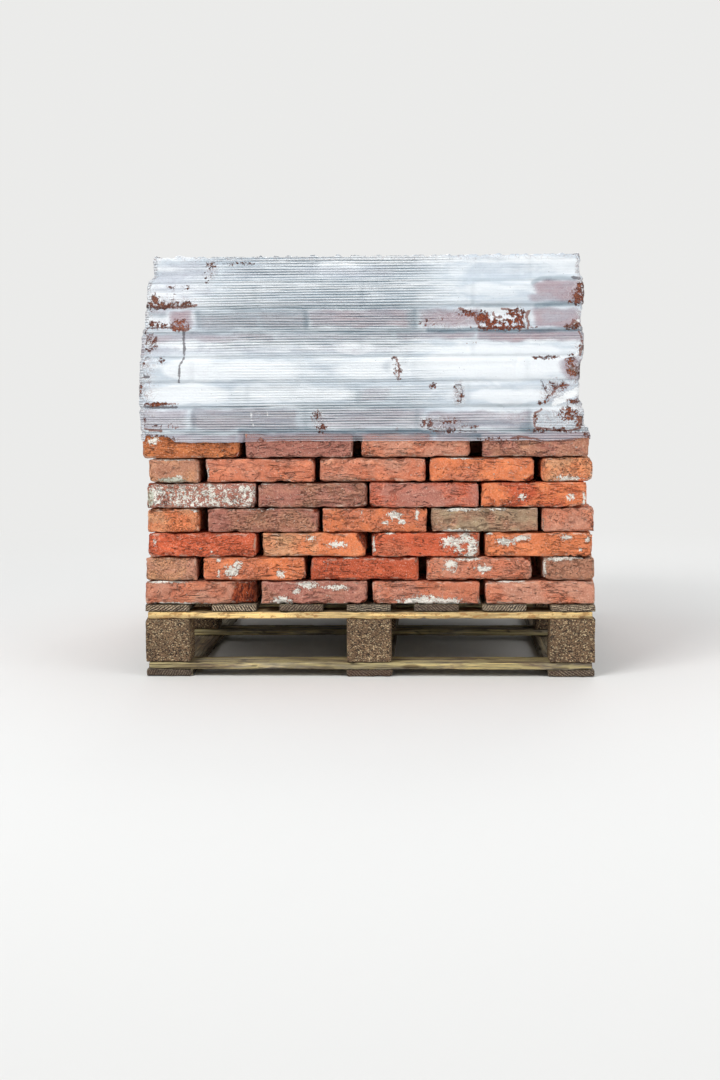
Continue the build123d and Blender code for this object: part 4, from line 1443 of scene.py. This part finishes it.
def face_line(blocks, axis, outward, along):
    """How far out the film lies along one side of a course, its joints, and its bricks there.

    It lies on each brick's face and dips into the joints between them.
    """
    def face(block):
        return outward * (block.high if outward > 0 else block.low)[axis]

    edge, run = max(face(block) for block in blocks), 1 - axis
    mine = sorted((b for b in blocks if face(b) > edge - 0.02), key=lambda b: b.low[run])
    knots, values, joints = [], [], []
    for block, following in zip(mine, mine[1:] + [None]):
        knots += [block.low[run] + 0.003, block.high[run] - 0.003]
        values += [face(block), face(block)]
        if following is not None:
            gap = following.low[run] - block.high[run]
            knots.append(block.high[run] + gap / 2)
            values.append(face(block) - min(0.3 * max(gap, 0) + 0.0012, DEEPEST_DIP))
            joints.append((block.high[run] + gap / 2, max(gap, 0.004)))
    return np.interp(along, knots, values), joints, mine


def oval(u, v, box):
    """How far each point lies from the middle of a box, where 1 is the oval that fits in it."""
    left, right, low, top = box
    return np.hypot((u - (left + right) / 2) / (right - left) * 2, (v - (low + top) / 2) / (top - low) * 2)


def box_outward(away):
    """The way out of a square load for each place round its middle."""
    x, y = away[..., 0], away[..., 1]
    return np.where((np.abs(x) > np.abs(y))[..., None], np.stack((np.sign(x), 0 * x), -1),
                    np.stack((0 * y, np.sign(y)), -1))


class FilmShape:
    """The film as columns round the load and rows up it."""

    # For the front, right, back and left: the axis that it faces along, and which way
    SIDES = ((1, -1), (0, 1), (1, 1), (0, -1))
    ARC_COLUMNS = 5
    LIP_ROWS = (0.0015, 0.004, 0.008, 0.013, 0.019, 0.026, 0.033, 0.041, 0.049, 0.056)

    def __init__(self, settings):
        self.settings = settings
        self.courses = [blocks_of(node) for node in COURSES[FIRST_WRAPPED - 1:]]
        self.boxes = [(np.array([b.low for b in c]).min(0), np.array([b.high for b in c]).max(0))
                      for c in self.courses]
        self.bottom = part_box("stretch_film")[0].z
        self.top = self.boxes[-1][1][2] + settings.clearance
        self.columns()
        many = round((self.top - self.bottom) / settings.rise_step)
        self.heights = np.linspace(self.bottom, self.top - 0.004, many)
        self.reaches = np.array([*self.LIP_ROWS, settings.lip])
        self.read_sides()
        self.grid = np.array([self.ring(z, z) for z in self.heights]
                             + [self.ring(self.top - 0.006, self.top, reach) for reach in self.reaches])
        self.roughen()

    def columns(self):
        """For each column its side, its share of the way along it, and its place in a corner arc."""
        self.column = []
        for side in range(4):
            step = self.settings.front_step if side == 0 else self.settings.side_step
            many = round(0.98 / step)
            self.column += [(side, (i + 0.5) / many, None) for i in range(many)]
            self.column += [(side, 1.0, (i + 0.5) / self.ARC_COLUMNS) for i in range(self.ARC_COLUMNS)]
        self.side = np.array([side for side, _, _ in self.column])

    def read_sides(self):
        """For each side, where the film lies on each course, and the joints and bricks behind it."""
        self.lines, self.joints, self.faces = [], [], []
        for side, (axis, outward) in enumerate(self.SIDES):
            low = min(box[0][1 - axis] for box in self.boxes)
            high = max(box[1][1 - axis] for box in self.boxes)
            share = np.array([t for on, t, arc in self.column if on == side and arc is None])
            along = low + (high - low) * (share if side in (0, 1) else 1 - share)
            found = [face_line(course, axis, outward, along) for course in self.courses]
            self.lines.append([smoothed(line) for line, _, _ in found])
            self.joints.append([joints for _, joints, _ in found])
            self.faces.append([mine for _, _, mine in found])

    def profile(self, side, z):
        """How far out the film lies along a side at a height: it slopes from course to course."""
        lines = self.lines[side]
        beds = [box[0][2] for box in self.boxes] + [self.boxes[-1][1][2]]
        k = int(np.clip(np.searchsorted(beds, z) - 1, 0, len(lines) - 1))
        own = lines[k]
        value = own.copy()
        for bed, other in ((beds[k], k - 1), (beds[k + 1], k + 1)):
            if 0 <= other < len(lines):
                near = smooth_step(abs(z - bed), 0.018, 0.0)
                value = value + (np.maximum(own, lines[other]) - own) * near
                value = value - self.settings.groove * math.exp(-((z - bed) / 0.0042) ** 2)
        return value

    def ring(self, level, height, over=0.0):
        """One row of points round the load: the level it follows, its height, its reach inwards."""
        outs = [self.profile(side, level) + self.settings.clearance for side in range(4)]
        edge = [outward * out[[0, -1]].mean() - outward * over
                for out, (_, outward) in zip(outs, self.SIDES)]
        y0, x1, y1, x0 = edge
        r = max(self.settings.corner - over, 0.002)
        ends = ((x0 + r, y0, x1 - r, y0), (x1, y0 + r, x1, y1 - r), (x1 - r, y1, x0 + r, y1),
                (x0, y1 - r, x0, y0 + r))
        middles = ((x1 - r, y0 + r), (x1 - r, y1 - r), (x0 + r, y1 - r), (x0 + r, y0 + r))
        row, at = [], [0, 0, 0, 0]
        for side, t, arc in self.column:
            if arc is not None:
                angle = math.radians(-90 + 90 * side + 90 * arc)
                cx, cy = middles[side]
                row.append((cx + r * math.cos(angle), cy + r * math.sin(angle), height))
                continue
            axis, outward = self.SIDES[side]
            ax, ay, bx, by = ends[side]
            point = [ax + (bx - ax) * t, ay + (by - ay) * t]
            want = outward * (outs[side][at[side]] - over)
            point[axis] = edge[side] + (want - edge[side]) * smooth_step(min(t, 1 - t), 0.0, 0.02)
            at[side] += 1
            row.append((*point, height))
        return row

    def roughen(self):
        """Gives the film its ragged edge, pleats, crumpled corners and crinkled rim."""
        rows = len(self.heights)
        middle = self.grid[rows // 2].copy()
        step = np.roll(middle, -1, 0) - middle
        self.around = np.concatenate(((0,), np.cumsum(np.linalg.norm(step[:-1, :2], axis=1))))
        s = self.around
        centre = middle.mean(0)[:2]
        outward = box_outward(self.grid[:rows, :, :2] - centre)
        self.grid[:rows, :, 2] += self.ragged_edge()
        self.grid[:rows, :, :2] += outward * self.pleats(middle)[..., None]
        crinkle = wavy(s, 21, 5, 0.02, 0.07) * 0.0016 + wavy(s, 22, 4, 0.008, 0.02) * 0.0013
        near_top = smooth_step(self.heights, self.top - 0.022, self.top - 0.004)
        folded = np.maximum(crinkle * 0.8, self.settings.pleat * -0.3)
        self.grid[:rows, :, :2] += outward * (near_top[:, None] * folded[None, :])[..., None]
        torn = wavy(s, 41, 5, 0.06, 0.5) * 0.006 + wavy(s, 42, 4, 0.02, 0.05) * 0.002
        for n, reach in enumerate(self.reaches):
            row = self.grid[rows + n]
            bumps = wavy(s + reach * 0.7, 31 + n // 3, 5, 0.02, 0.09)
            lifted = 0.0022 + crinkle * 0.9 + bumps * 0.0011 - 0.0012 * min(reach / 0.03, 1)
            row[:, 2] += np.maximum(lifted, 0.0)
            inward = centre - row[:, :2]
            inward /= np.linalg.norm(inward, axis=1)[:, None]
            row[:, :2] += inward * (torn * (reach / self.settings.lip) ** 2)[:, None]

    def ragged_edge(self):
        """How far the rows near the lower edge are moved up for it to be ragged."""
        s = self.around
        ragged = wavy(s, 3, 5, 0.05, 0.4) * 0.0028 + wavy(s, 4, 6, 0.012, 0.05) * 0.0008
        known = np.interp(self.grid[0, :, 0] / MM, *zip(*EDGE_FRONT)) * MM - self.bottom
        ragged = np.where(self.side == 0, known + ragged * 0.3, ragged + 0.004)
        fade = smooth_step(self.heights, self.bottom + 0.045, self.bottom)
        return fade[:, None] * ragged[None, :]

    def pleats(self, middle):
        """How far the pleats, and the crumples at the load's corners, stand out."""
        s = self.around
        out = np.zeros((len(self.heights), len(s)))
        for n, z in enumerate(self.heights):
            slow = wavy(s + 0.4 * z, 9, 4, 0.25, 0.9)
            out[n] = (math.sin(z * math.tau / 0.0131 + 1.0) * 0.6 + math.sin(z * math.tau / 0.0187)) * slow
        out *= self.settings.pleat * 0.5
        around, level = np.broadcast_arrays(s[None, :], self.heights[:, None])
        along = np.where(np.isin(self.side, (0, 2)), middle[:, 0], middle[:, 1])
        near_corner = smooth_step(np.abs(along), 0.43, 0.495)
        out += patchy(around, level, 0.09, 0.018, 1) * self.settings.pleat
        crumples = patchy(around, level, 0.016, 0.009, 2) * self.settings.crumple
        out += crumples * (0.12 + 0.88 * near_corner[None, :])
        return np.maximum(out, self.settings.pleat * -0.9)

    def mesh(self):
        """The film's mesh, closed round the load."""
        high, wide = self.grid.shape[:2]
        index = np.arange(high * wide).reshape(high, wide)
        right = np.roll(index, -1, 1)
        faces = np.stack((index[:-1], right[:-1], right[1:], index[1:]), -1).reshape(-1, 4)
        mesh = bpy.data.meshes.new("film_wrap")
        mesh.from_pydata(self.grid.reshape(-1, 3).tolist(), [], faces.tolist())
        for face in mesh.polygons:
            face.use_smooth = True
        return mesh


class FilmFields:
    """What the film's finish needs for every point of it, by name."""

    def __init__(self, shape):
        self.shape, self.draw = shape, random.Random(8)
        self.side = shape.side[None, :]
        self.front = self.side == 0
        x, y, self.z = (shape.grid[..., axis] for axis in range(3))
        self.run = np.where(np.isin(self.side, (0, 2)), x, y)
        self.bent = self.run + patchy(self.run, self.z, 0.05, 0.02, 5) * 0.022
        self.x_mm, self.z_mm = x / MM, self.z / MM
        self.bend_x = wavy(self.z_mm, 71, 3, 60, 150) * 6
        self.bend_z = wavy(self.x_mm, 72, 4, 40, 160) * 2.2
        self.none = np.zeros(x.shape)
        self.beds = [low[2] for low, _ in shape.boxes][1:]
        groove, rise, contact = self.bricks_behind(self.bed_grooves())
        grey = np.where(self.front, 0.0, 0.35 * contact)
        self.raise_zones(contact, FILM_ZONES)
        self.raise_zones(grey, FILM_GREY)
        thick = self.thick()
        self.values = {"contact": contact, "grey": grey, "bare": self.bare(),
                       "groove": np.clip(groove, 0, 1), **self.marks(), "pleated": self.pleated(thick),
                       "thick": thick, "rise": rise, "crinkled": self.crinkled()}

    def bed_grooves(self):
        """Lines where the film is drawn in at the beds, which fade in and out round the load; the finish
        paints shade along them.
        """
        groove = self.none
        for n, (bed, strength) in enumerate(zip(self.beds, BEDS_SHOWN)):
            thin, wide = (self.z - bed - 0.001) / 0.0034, (self.z - bed) / 0.0085
            line = np.clip(np.exp(-thin ** 2) + 0.4 * np.exp(-wide ** 2), 0, 1) * strength
            fading = 0.7 + 0.3 * wavy(self.shape.around, 60 + n, 3, 0.1, 0.5)
            groove = np.maximum(groove, line * fading[None, :])
        return groove

    def bricks_behind(self, groove):
        """Adds the joints to the grooves, and finds the rise up each course and the drawn contact."""
        contact, rise, z = self.none, np.ones(self.z.shape), self.z
        for side in range(4):
            on_side = self.side == side
            for k, (low, high) in enumerate(self.shape.boxes):
                inside = smooth_step(z, low[2], low[2] + 0.006) * smooth_step(z, high[2], high[2] - 0.006)
                step = np.where((z >= low[2]) & (z < high[2]), (z - low[2]) / (high[2] - low[2]), 1)
                rise = np.where(on_side, np.minimum(rise, step), rise)
                for middle, gap in self.shape.joints[side][k]:
                    line = np.exp(-((self.run - middle) / (gap / 2 + 0.003)) ** 2)
                    groove = np.maximum(groove, on_side * inside * line * self.joint_shown(side, k))
                for block in self.shape.faces[side][k] if side else ():
                    here, amount = self.drawn_contact(side, block)
                    contact = np.maximum(contact, on_side * inside * here * amount)
        return groove, rise, contact

    def joint_shown(self, side, k):
        """How much a joint shows through the film."""
        if side == 0:
            return JOINTS_SHOWN[k] * self.draw.uniform(0.6, 1.2)
        return self.draw.uniform(0.08, 0.5)

    def drawn_contact(self, side, block):
        """Where the film lies against a brick of one of the other sides, and how much."""
        way = 1 - self.shape.SIDES[side][0]
        amount = self.draw.choice((0.0, 0.1, 0.2, 0.35, 0.5, 0.62))
        left = block.low[way] + self.draw.uniform(-0.02, 0.03)
        right = block.high[way] - self.draw.uniform(-0.02, 0.03)
        here = smooth_step(self.bent, left - 0.016, left + 0.02)
        return here * smooth_step(self.bent, right + 0.016, right - 0.02), amount

    def raise_zones(self, field, zones):
        """Raises a field inside boxes on the front that have soft, uneven edges."""
        u, v = self.x_mm + self.bend_x, self.z_mm + self.bend_z
        for left, right, low, top, amount in zones:
            here = smooth_step(u, left - 14, left + 14) * smooth_step(u, right + 14, right - 14)
            here = here * smooth_step(v, low - 5, low + 9) * smooth_step(v, top + 5, top - 9)
            np.maximum(field, self.front * here * amount, out=field)

    def thick(self):
        """Where many layers of film lie on each other."""
        thick = np.where(self.front, 0.0, 0.3) + self.none
        for *box, amount in FILM_THICK:
            far = oval(self.x_mm + self.bend_x, self.z_mm + self.bend_z, box)
            thick = np.maximum(thick, self.front * amount * smooth_step(far, 1.35, 0.55))
        return thick

    def drawn_spot(self):
        """A torn spot near a bed: its left, right, bottom and top in mm, and how bare it is."""
        draw = self.draw
        left = draw.choice((-497, -488, 462, 478, draw.uniform(-470, 440), draw.uniform(-470, 440)))
        low = draw.choice(self.beds) / MM + draw.choice((-12, 0, 2, 30))
        right = left + draw.uniform(10, 30) * draw.choice((1, 1, 2))
        return left, right, low, low + draw.uniform(4, 14), draw.uniform(0.4, 0.85)

    def bare(self):
        """Torn spots: those listed for the front, and drawn ones on the other sides."""
        spots = [(*spot, 0) for spot in FILM_BARE]
        spots += [(*self.drawn_spot(), side) for side in (1, 2, 3) for _ in range(22)]
        bare = self.none
        for left, right, low, top, amount, side in spots:
            far = np.hypot((self.run / MM - (left + right) / 2) / ((right - left) / 2 + 2),
                           (self.z_mm - (low + top) / 2) / ((top - low) / 2 + 1.5))
            bare = np.maximum(bare, (self.side == side) * amount * np.clip(1.45 - 0.85 * far, 0, 1))
        return bare

    def off_line(self, start, end):
        """How far each point lies from a straight line on the front, in mm."""
        (x0, z0), (x1, z1) = start, end
        run_x, run_z = x1 - x0, z1 - z0
        t = ((self.x_mm - x0) * run_x + (self.z_mm - z0) * run_z) / (run_x ** 2 + run_z ** 2)
        t = np.clip(t, 0, 1)
        return np.hypot(self.x_mm - x0 - t * run_x, self.z_mm - z0 - t * run_z)

    def marks(self):
        """The lines on the front, by kind."""
        marks = {kind: self.none for kind in ("rust", "ink", "pale", "shade")}
        for corner, rows in MARKS.items():
            for kind, half, strength, *points in rows:
                places = [front_place(corner, point) for point in points]
                for start, end in zip(places, places[1:]):
                    here = self.front * strength * np.clip(1.6 - self.off_line(start, end) / half, 0, 1)
                    marks[kind] = np.maximum(marks[kind], here)
        return marks

    def pleated(self, thick):
        """How finely pleated the film is: most in the middle of the front and at its lower edge."""
        x, z = self.x_mm, self.z_mm
        pleated = 0.08 + 0.92 * smooth_step(x, -450, -250) * smooth_step(x, 230, 60)
        smoother = smooth_step(z, 735, 720) * smooth_step(z, 610, 640)
        streaked = smooth_step(z, 770, 762) * smooth_step(z, 735, 742)
        pleated = np.maximum(pleated * (1 - 0.5 * smoother), 0.5 * streaked)
        pleated = np.maximum(pleated, 0.85 * smooth_step(z, 605, 560))
        return np.where(self.front, pleated, 0.7) * (1 - 0.75 * thick)

    def crinkled(self):
        """How crinkled the film is: at the load's corners, at its rim and in the listed boxes."""
        arcs = np.array([arc is not None for _, _, arc in self.shape.column])
        from_end = np.abs(np.abs(self.run) - 0.5) * np.where(arcs, 0, 1)[None, :]
        top = self.shape.top
        crinkled = smooth_step(from_end, 0.055, 0.0) * 0.8 + 0.5 * smooth_step(self.z, top - 0.014, top)
        for *box, amount in CRINKLES:
            far = oval(self.x_mm, self.z_mm, box)
            crinkled = np.maximum(crinkled, self.front * amount * np.clip(1.5 - far, 0, 1))
        return np.clip(crinkled, 0, 1)


class SCENE_OT_film(bpy.types.Operator):
    """Stretches the film round the upper courses"""

    bl_idname = "brick_pallet.film"
    bl_label = "Wrap Film"

    def execute(self, context):
        settings = context.scene.brick_pallet_film
        shape = FilmShape(settings)
        mesh = shape.mesh()
        for name, values in FilmFields(shape).values.items():
            put(mesh, name, values)
        film = bpy.data.objects.new("film_wrap", mesh)
        context.scene.collection.objects.link(film)
        mesh.materials.append(FilmFinish(settings).material)
        dress(film, "film", "stretch_film")
        return {"FINISHED"}


def aim(settings):
    """The camera's turn, from its yaw, pitch and roll."""
    right, down, forward = view_axes(settings.yaw, settings.pitch, settings.roll)
    return Matrix((right, -down, -forward)).transposed().to_4x4()


def view_axes(yaw, pitch, roll):
    """Which way the right, the lower edge and the middle of a view point."""
    forward = Vector((-math.sin(yaw) * math.cos(pitch), math.cos(yaw) * math.cos(pitch), -math.sin(pitch)))
    right = Vector((math.cos(yaw), math.sin(yaw), 0))
    down = forward.cross(right)
    turned = right * math.cos(roll) + down * math.sin(roll)
    return turned, down * math.cos(roll) - right * math.sin(roll), forward


def front_place(corner, point):
    """Where a point of an enlarged part of the photograph lies on the front: X and Z in whole mm."""
    right, down, forward = view_axes(YAW, PITCH, ROLL)
    across = corner[0] + point[0] / ENLARGED - PHOTO_WIDE / 2
    below = corner[1] + point[1] / ENLARGED - PHOTO_HIGH / 2
    ray = forward + (right * across + down * below) * (FRAME_HIGH / LENS / PHOTO_HIGH)
    reach = (FRONT_PLANE - CAMERA_PLACE[1]) / ray.y
    return round((CAMERA_PLACE[0] + ray.x * reach) / MM), round((CAMERA_PLACE[2] + ray.z * reach) / MM)


def swept_floor(material):
    """A pale floor that curves up into a backdrop all round, in one smooth sheet."""
    near, bend, high, turns, steps = 7.0, 3.0, 7.0, 48, 12
    profile = [(0.0, 0.0), (near, 0.0)]
    profile += [(near + bend * math.sin(a), bend - bend * math.cos(a))
                for a in (math.radians(90 * i / steps) for i in range(1, steps + 1))]
    profile.append((near + bend, high))
    ways = [(math.cos(math.tau * t / turns), math.sin(math.tau * t / turns)) for t in range(turns)]
    rings = [[(r * x, r * y, z) for x, y in ways] for r, z in profile[1:]]
    points = [(0.0, 0.0, 0.0)] + [point for ring in rings for point in ring]
    faces = [(0, 1 + t, 1 + (t + 1) % turns) for t in range(turns)]
    for n in range(len(rings) - 1):
        low, up = 1 + n * turns, 1 + (n + 1) * turns
        faces += [(low + t, up + t, up + (t + 1) % turns, low + (t + 1) % turns) for t in range(turns)]
    mesh = bpy.data.meshes.new("floor")
    mesh.from_pydata(points, [], faces)
    mesh.shade_smooth()
    mesh.materials.append(material)
    made = bpy.data.objects.new("floor", mesh)
    bpy.context.scene.collection.objects.link(made)
    return made


def soft_sky(settings):
    """Even light all round, which is itself seen as the plain pale backdrop."""
    world = bpy.data.worlds.new("soft_sky")
    world.use_nodes = True
    flow = Flow(world.node_tree)
    world.node_tree.nodes.clear()
    lit = flow.node("ShaderNodeBackground", {"Color": (0.96, 0.98, 1.0, 1), "Strength": settings.sky})
    shown = flow.node("ShaderNodeBackground", {"Color": (*settings.floor, 1), "Strength": BACKDROP_GLOW})
    choices = {0: seen_directly(flow), 1: lit.outputs[0], 2: shown.outputs[0]}
    either = flow.node("ShaderNodeMixShader", choices)
    flow.node("ShaderNodeOutputWorld", {"Surface": either.outputs[0]})
    return world


def area_lamp(name, place, size, power):
    """A square lamp that shines on the middle of the load."""
    lamp = bpy.data.lights.new(name, "AREA")
    lamp.size, lamp.energy = size, power
    made = bpy.data.objects.new(name, lamp)
    towards = Vector(LIT_PLACE) - Vector(place)
    made.matrix_world = Matrix.Translation(place) @ towards.to_track_quat("-Z", "Y").to_matrix().to_4x4()
    return made


class SCENE_OT_stage(bpy.types.Operator):
    """Sets the camera, soft studio lamps, the pale floor and the backdrop"""

    bl_idname = "brick_pallet.stage"
    bl_label = "Set Stage"

    def execute(self, context):
        settings, scene = context.scene.brick_pallet_stage, context.scene
        camera = bpy.data.objects.new("camera", bpy.data.cameras.new("camera"))
        camera.data.lens = settings.lens
        camera.data.clip_end = 60
        camera.matrix_world = Matrix.Translation(settings.camera_place) @ aim(settings)
        scene.collection.objects.link(camera)
        scene.camera = camera
        swept_floor(floor_material(tuple(settings.floor)))
        scene.world = soft_sky(settings)
        for name, lamp in LAMPS.items():
            scene.collection.objects.link(area_lamp(name, *lamp))
        scene.view_settings.view_transform = "Standard"
        return {"FINISHED"}


STEPS = (SCENE_OT_stage, SCENE_OT_bricks, SCENE_OT_pallet, SCENE_OT_nails, SCENE_OT_film)
SETTINGS = {"brick_pallet_bricks": BrickSettings, "brick_pallet_wood": WoodSettings,
            "brick_pallet_film": FilmSettings, "brick_pallet_stage": StageSettings}


class VIEW3D_PT_brick_pallet(bpy.types.Panel):
    """Lists the steps and their settings"""

    bl_idname = "VIEW3D_PT_brick_pallet"
    bl_label = "Brick Pallet"
    bl_space_type = "VIEW_3D"
    bl_region_type = "UI"
    bl_category = "Brick Pallet"

    def draw(self, context):
        for step in STEPS:
            self.layout.operator(step.bl_idname)
        for name, group in SETTINGS.items():
            box = self.layout.box()
            for key in group.__annotations__:
                box.prop(getattr(context.scene, name), key)


def register():
    """Adds the classes, and the settings to every scene."""
    for group in (*SETTINGS.values(), *STEPS, VIEW3D_PT_brick_pallet):
        bpy.utils.register_class(group)
    for name, group in SETTINGS.items():
        setattr(bpy.types.Scene, name, bpy.props.PointerProperty(type=group))


def unregister():
    """Takes away what register adds."""
    for name in SETTINGS:
        delattr(bpy.types.Scene, name)
    for group in (*SETTINGS.values(), *STEPS, VIEW3D_PT_brick_pallet):
        bpy.utils.unregister_class(group)


def main():
    """Builds the scene step by step."""
    register()
    bpy.ops.brick_pallet.stage()
    bpy.ops.brick_pallet.bricks()
    bpy.ops.brick_pallet.pallet()
    bpy.ops.brick_pallet.nails()
    bpy.ops.brick_pallet.film()


if __name__ == "__main__":
    main()
